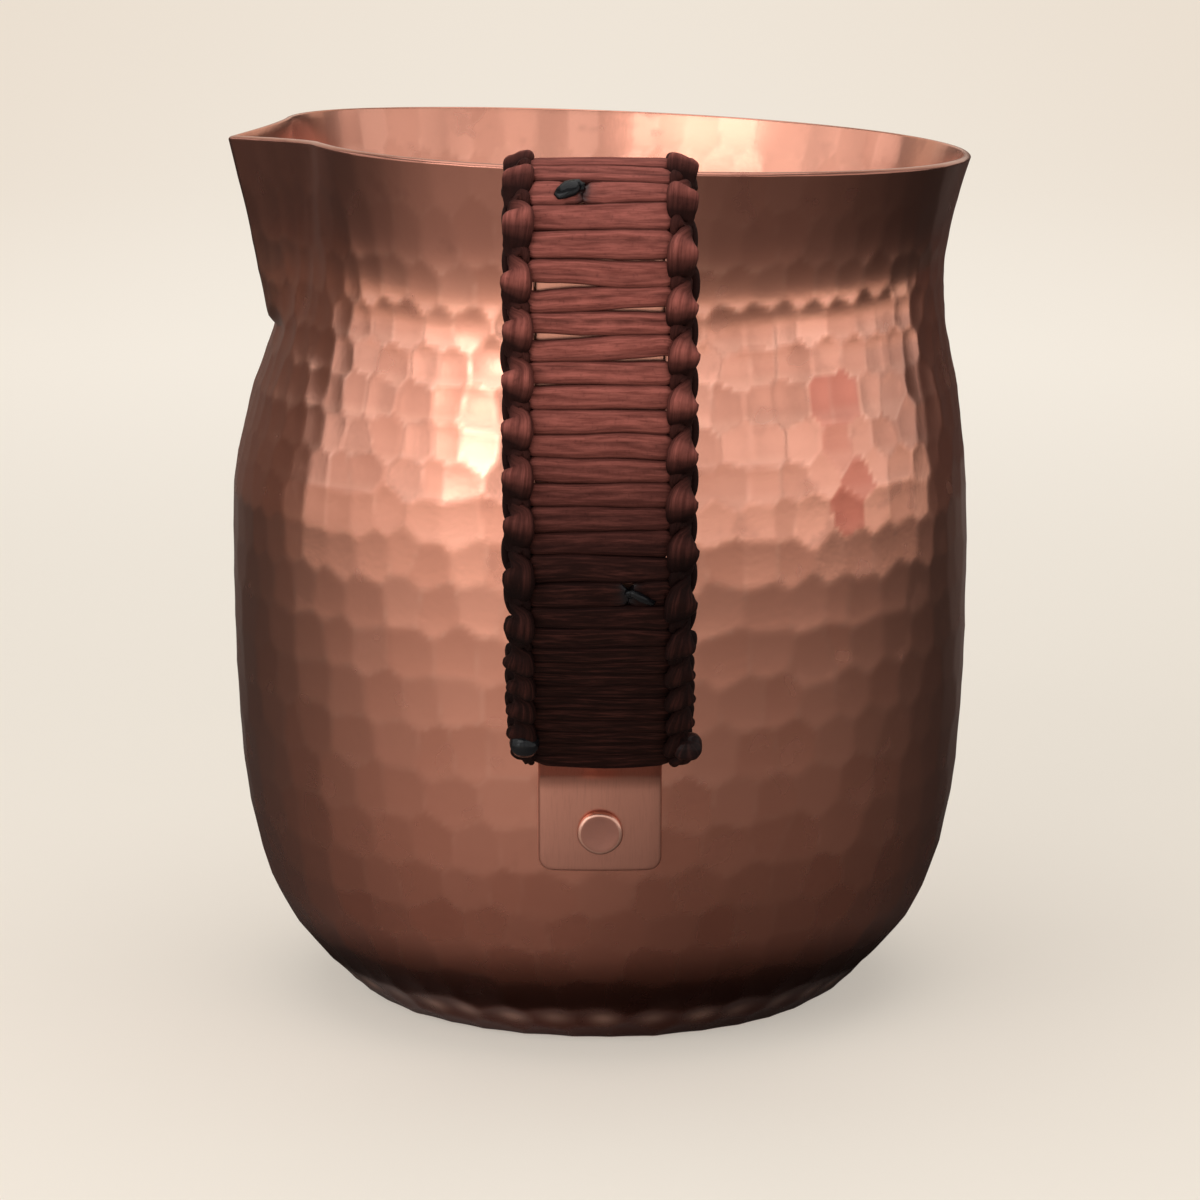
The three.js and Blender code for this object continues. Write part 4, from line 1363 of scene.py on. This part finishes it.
def floor_card(colours):
    """A warm grey ring on the table that the lower half mirrors: darker near it and behind it."""
    turns = np.arange(-180, 180, 7.5)
    reaches = np.array([
        41.0, 44, 46, 49, 55, 61, 65, 75, 95, 120, 150, 190, 240, 300, 380, 480, 620, 800,
    ])
    points = [
        np.array(around(turn, reach * MM, 0.0003)) / MM for reach in reaches for turn in turns
    ]
    near = np.interp(
        reaches, [46, 49, 55, 61, 65, 90, 115, 150, 200, 300, 500, 800],
        [0.52, 0.08, 0.13, 0.24, 0.4, 0.42, 0.5, 0.58, 0.62, 0.66, 0.76, 1.0],
    )
    left = 1.4 - 0.4 * np.sin(np.radians(90 * np.clip(turns / 28, -1, 1)))
    beside = np.interp(
        turns, [-180, -110, -90, -70, -50, 0, 45, 62, 90, 115, 180],
        [0.7, 0.72, 0.78, 1.0, 1.12, 1.0, 0.92, 1.05, 0.85, 0.62, 0.55],
    )
    facing = 0.7 * np.exp(-(turns / 88) ** 2) * left * beside
    facing = np.maximum(facing, np.interp(np.abs(turns), [120, 165], [0.0, 0.3]))
    finish = plain_finish("floor_card", (0.1, 0.1, 0.1))
    finish.set(Base_Color=finish.blend(finish.kept("shade"), colours.card_near, colours.card_far))
    made = dark_card("floor_card", points, grid_faces(len(reaches), len(turns)), finish)
    paint_values(made, "shade", np.outer(near, facing).ravel())


# The strips of the curved front light: turn, width in degrees, level low down and level high up
STRIPS = (
    (-111, 16, 0.0, 1.3), (-91, 17, 0.8, 1.1), (-71, 17, 1.08, 1.3), (-51, 17, 1.35, 1.6),
    (-33, 15, 1.6, 2.1), (-12, 17, 1.2, 0.9), (9, 17, 1.0, 0.95), (30, 17, 0.86, 1.1),
    (48, 15, 1.05, 1.0), (70, 22, 1.05, 0.8), (90, 17, 0.85, 0.65), (109, 15, 0.5, 0.8),
)
STRIP_DISTANCE = 1.3


def build_light(settings):
    """The curved front of strips, the key boxes, the top box, the cards and the weak room light."""
    level = settings.sizes.light_level
    for index, (turn, wide, low, high) in enumerate(STRIPS):
        across = 2 * STRIP_DISTANCE * math.tan(math.radians(wide / 2))
        for word, bright, bottom, top in (("low", low, 0.01, 0.42), ("high", high, 0.43, 1.12)):
            if bright:
                place = around(turn, STRIP_DISTANCE, (bottom + top) / 2)
                size = (across, top - bottom)
                soft_box(f"front_{word}_{index}", place, (0, 0, place[2]), size, bright * level)
    soft_box("low_key_box", around(-40, 1.2, 0.3), (0, 0, 0.12), (0.25, 0.22), 3.2 * level)
    soft_box("high_key_box", around(-34, 1.2, 0.88), (0, 0, 0.12), (1.16, 0.38), 2.0 * level)
    soft_box("top_box", (0.0, 0.1, 1.55), (0, 0, 0.1), (1.7, 1.5), 1.6 * level)
    side_cards()
    floor_card(settings.colours)
    world = bpy.data.worlds.new("soft_room")
    bpy.context.scene.world = world
    world.use_nodes = True
    backdrop = world.node_tree.nodes["Background"]
    backdrop.inputs["Color"].default_value = (1.0, 0.97, 0.93, 1.0)
    backdrop.inputs["Strength"].default_value = 0.3 * level


def build_camera():
    """The camera of the photograph: low in front of the handle, looking slightly down."""
    lens = bpy.data.cameras.new("photo_camera")
    lens.sensor_fit = "HORIZONTAL"
    lens.sensor_width = SENSOR_WIDTH
    lens.lens = SENSOR_WIDTH * PHOTO_FOCUS / PHOTO_WIDTH
    lens.clip_start, lens.clip_end = 0.01, 20.0
    made = bpy.data.objects.new("photo_camera", lens)
    bpy.context.scene.collection.objects.link(made)
    made.location = CAMERA_PLACE
    made.rotation_euler = (math.radians(90 - CAMERA_LOOK_DOWN), 0.0, 0.0)
    bpy.context.scene.camera = made
    bpy.context.scene.view_settings.view_transform = "Standard"


# ---- settings, operators and panel ----

def colour_property(name, description, default):
    return FloatVectorProperty(
        name=name, description=description, default=default, subtype="COLOR", size=3,
        min=0.0, max=1.0,
    )


def factor_property(name, description, default, low, high):
    return FloatProperty(
        name=name, description=description, default=default, min=low, max=high, subtype="FACTOR",
    )


def length_property(name, description, default, low, high):
    return FloatProperty(
        name=name, description=description + ", in millimetres", default=default,
        min=low, max=high,
    )


def count_property(name, description, default, low, high=2 ** 31 - 1):
    return IntProperty(name=name, description=description, default=default, min=low, max=high)


class JugSizes(bpy.types.PropertyGroup):
    mark_size: factor_property(
        "Hammer mark size", "Size of the planishing marks against the usual ones", 1.0, 0.5, 2.0,
    )
    mark_depth: length_property(
        "Hammer mark depth", "Depth of a mark between its ridges", 0.165, 0.0, 0.4,
    )
    mark_seed: count_property("Hammer mark pattern", "Chooses another pattern of marks", 11, 0)
    mesh_step: length_property(
        "Wall mesh step", "Distance between rings of the wall's mesh", 0.8, 0.4, 4.0,
    )
    mesh_columns: count_property(
        "Wall mesh columns", "Number of vertices round the wall", 480, 120, 960,
    )
    bar_slope: factor_property(
        "Bar slant", "How far the lacing's bars slant against the usual slant", 1.0, 0.0, 2.0,
    )
    crease_depth: factor_property(
        "Crease depth", "Depth of the lengthwise creases as a share of the cord's thickness",
        0.16, 0.0, 0.5,
    )
    cord_step: length_property(
        "Cord mesh step", "Distance between rings of a cord's mesh", 0.6, 0.3, 3.0,
    )
    lacing_seed: count_property("Lacing pattern", "Chooses another set of small unevenness", 5, 0)
    light_level: factor_property(
        "Light level", "Brightness of all the studio lamps together", 1.0, 0.1, 4.0,
    )


class JugColours(bpy.types.PropertyGroup):
    copper: colour_property("Copper", "Polished copper of the marks", (0.72, 0.337, 0.243))
    # Also the colour of the painted shade on the top of each hammer mark.
    copper_deep_and_shade: colour_property(
        "Deep copper", "Darker, redder copper between them", (0.53, 0.222, 0.152),
    )
    # Also the colour of the painted highlights on the lower edge of each mark and in the foot's
    # dents.
    ridge: colour_property("Ridges", "Bright metal on ridges and edges", (0.86, 0.52, 0.40))
    # Also the colour of the band under the rim, which is painted shade, partly brown patina.
    patina: colour_property("Patina", "Brown patina under the rim", (0.27, 0.112, 0.085))
    # Painted shade towards the foot, partly brown toning.
    foot_shade_and_tone: colour_property("Foot", "Dark toning at the foot", (0.30, 0.098, 0.068))
    # Painted shade where the foot turns under.
    foot_under_shade: colour_property(
        "Foot edge", "Grimy copper where the foot turns under", (0.13, 0.032, 0.018),
    )
    # How strong the painted shade towards the foot is.
    foot_shade_and_toning_amount: factor_property(
        "Foot toning", "How strong the toning at the foot is", 0.9, 0.0, 1.0,
    )
    flush: colour_property("Oxide flush", "Reddish oxide on single marks", (0.46, 0.12, 0.085))
    strap_tone: colour_property(
        "Strap", "Brown copper of the strap's lower tab", (0.40, 0.19, 0.15),
    )
    cord: colour_property("Cord", "Waxed lacing cord", (0.174, 0.048, 0.038))
    cord_light: colour_property("Cord fibres", "Lighter fibres of the cord", (0.340, 0.102, 0.081))
    # Dark fibres of the cord, and the colour of the painted shade in its folds, creases and
    # undersides.
    cord_dark_and_shade: colour_property("Cord folds", "Folds of the cord", (0.006, 0.002, 0.0018))
    # Painted shade on the lower grip.
    cord_in_shade: colour_property(
        "Soiled cord", "Cord blackened by handling", (0.010, 0.0032, 0.0024),
    )
    # How strong the painted shade on the lower grip is.
    grip_shade_strength: factor_property(
        "Handling", "How much handling has darkened the lower grip", 0.99, 0.0, 1.0,
    )
    melted: colour_property("Melted ends", "Black melted ends of the cord", (0.004, 0.004, 0.005))
    floor: colour_property("Floor", "Pale floor and backdrop", (0.80, 0.735, 0.65))
    paper: colour_property("Paper", "Middle of the pale backdrop", (0.97, 0.90, 0.80))
    paper_edge: colour_property("Paper edge", "Edges of the pale backdrop", (0.90, 0.80, 0.685))
    card_near: colour_property(
        "Card, darkest", "Reflection card close to the jug and behind it", (0.01, 0.008, 0.007),
    )
    card_far: colour_property(
        "Card, palest", "Reflection card at its front edge", (0.74, 0.685, 0.645),
    )


class JugSettings(bpy.types.PropertyGroup):
    sizes: PointerProperty(type=JugSizes)
    colours: PointerProperty(type=JugColours)


class JugOperator:
    bl_options = {"REGISTER", "UNDO"}

    def execute(self, context):
        self.build(context.scene.copper_jug)
        return {"FINISHED"}


class JUG_OT_body(JugOperator, bpy.types.Operator):
    """Raise and planish the jug's body"""
    bl_idname = "jug.body"
    bl_label = "Body"

    def build(self, settings):
        build_body(settings)


class JUG_OT_strap(JugOperator, bpy.types.Operator):
    """Bend the handle strap and seat its tabs on the wall"""
    bl_idname = "jug.strap"
    bl_label = "Handle strap"

    def build(self, settings):
        build_strap(settings)


class JUG_OT_rivets(JugOperator, bpy.types.Operator):
    """Set the two rivets through strap and wall"""
    bl_idname = "jug.rivets"
    bl_label = "Rivets"

    def build(self, settings):
        build_rivet("jug_lower_rivet", "lower_rivet", LOWER_RIVET_HEIGHT, settings)
        build_rivet("jug_upper_rivet", "upper_rivet", UPPER_RIVET_HEIGHT, settings)


class JUG_OT_front_lacing(JugOperator, bpy.types.Operator):
    """Lay the three lengths of the front cord"""
    bl_idname = "jug.front_lacing"
    bl_label = "Front cords"

    def build(self, settings):
        laces = Laces(settings.sizes)
        lower, upper = BARS - 1 - LOWER_JOIN_BAR, UPPER_JOIN_BAR

        def end(bar, place, heading, drop):
            across = place + heading * arrive_side(bar) * JOIN_GAP
            return {"bar": bar, "across": across, "whole": False, "drop": drop}

        first = {"bar": 0, "whole": True}
        last = {"bar": BARS - 1, "whole": True}
        over_upper, over_lower = (
            end(upper, UPPER_JOIN_PLACE, -1, 0.0), end(lower, LOWER_JOIN_PLACE, -1, LOWER_DROP),
        )
        under_upper, under_lower = (
            end(upper, UPPER_JOIN_PLACE, 1, UPPER_DROP), end(lower, LOWER_JOIN_PLACE, 1, 0.0),
        )
        for node, start, stop in (
            ("front_cord_upper", first, over_upper),
            ("front_cord_middle", under_upper, over_lower),
            ("front_cord_lower", under_lower, last),
        ):
            build_cord(f"jug_{node}", node, laces.front(start, stop), settings)


class JUG_OT_back_lacing(JugOperator, bpy.types.Operator):
    """Lay the back cord and its two-bar legs along the edges"""
    bl_idname = "jug.back_lacing"
    bl_label = "Back cord"

    def build(self, settings):
        build_cord("jug_back_cord", "back_cord", Laces(settings.sizes).back(), settings)


class JUG_OT_stage(JugOperator, bpy.types.Operator):
    """Set up the pale floor, the soft light and the camera"""
    bl_idname = "jug.stage"
    bl_label = "Floor, light and camera"

    def build(self, settings):
        build_floor(settings)
        build_light(settings)
        build_camera()


OPERATORS = (
    JUG_OT_stage, JUG_OT_body, JUG_OT_strap, JUG_OT_rivets, JUG_OT_front_lacing, JUG_OT_back_lacing,
)


class JUG_PT_panel(bpy.types.Panel):
    """Lists the jug's pieces"""
    bl_idname = "JUG_PT_panel"
    bl_label = "Copper jug"
    bl_space_type = "VIEW_3D"
    bl_region_type = "UI"
    bl_category = "Copper jug"

    def draw(self, context):
        for operator in OPERATORS:
            self.layout.operator(operator.bl_idname)
        settings = context.scene.copper_jug
        for group in (settings.sizes, settings.colours):
            box = self.layout.box()
            for name in group.__annotations__:
                box.prop(group, name)


CLASSES = (JugSizes, JugColours, JugSettings, *OPERATORS, JUG_PT_panel)


def register():
    for item in CLASSES:
        bpy.utils.register_class(item)
    bpy.types.Scene.copper_jug = PointerProperty(type=JugSettings)


def unregister():
    del bpy.types.Scene.copper_jug
    for item in reversed(CLASSES):
        bpy.utils.unregister_class(item)


def main():
    register()
    for operator in OPERATORS:
        group, name = operator.bl_idname.split(".")
        getattr(getattr(bpy.ops, group), name)()


if __name__ == "__main__":
    main()
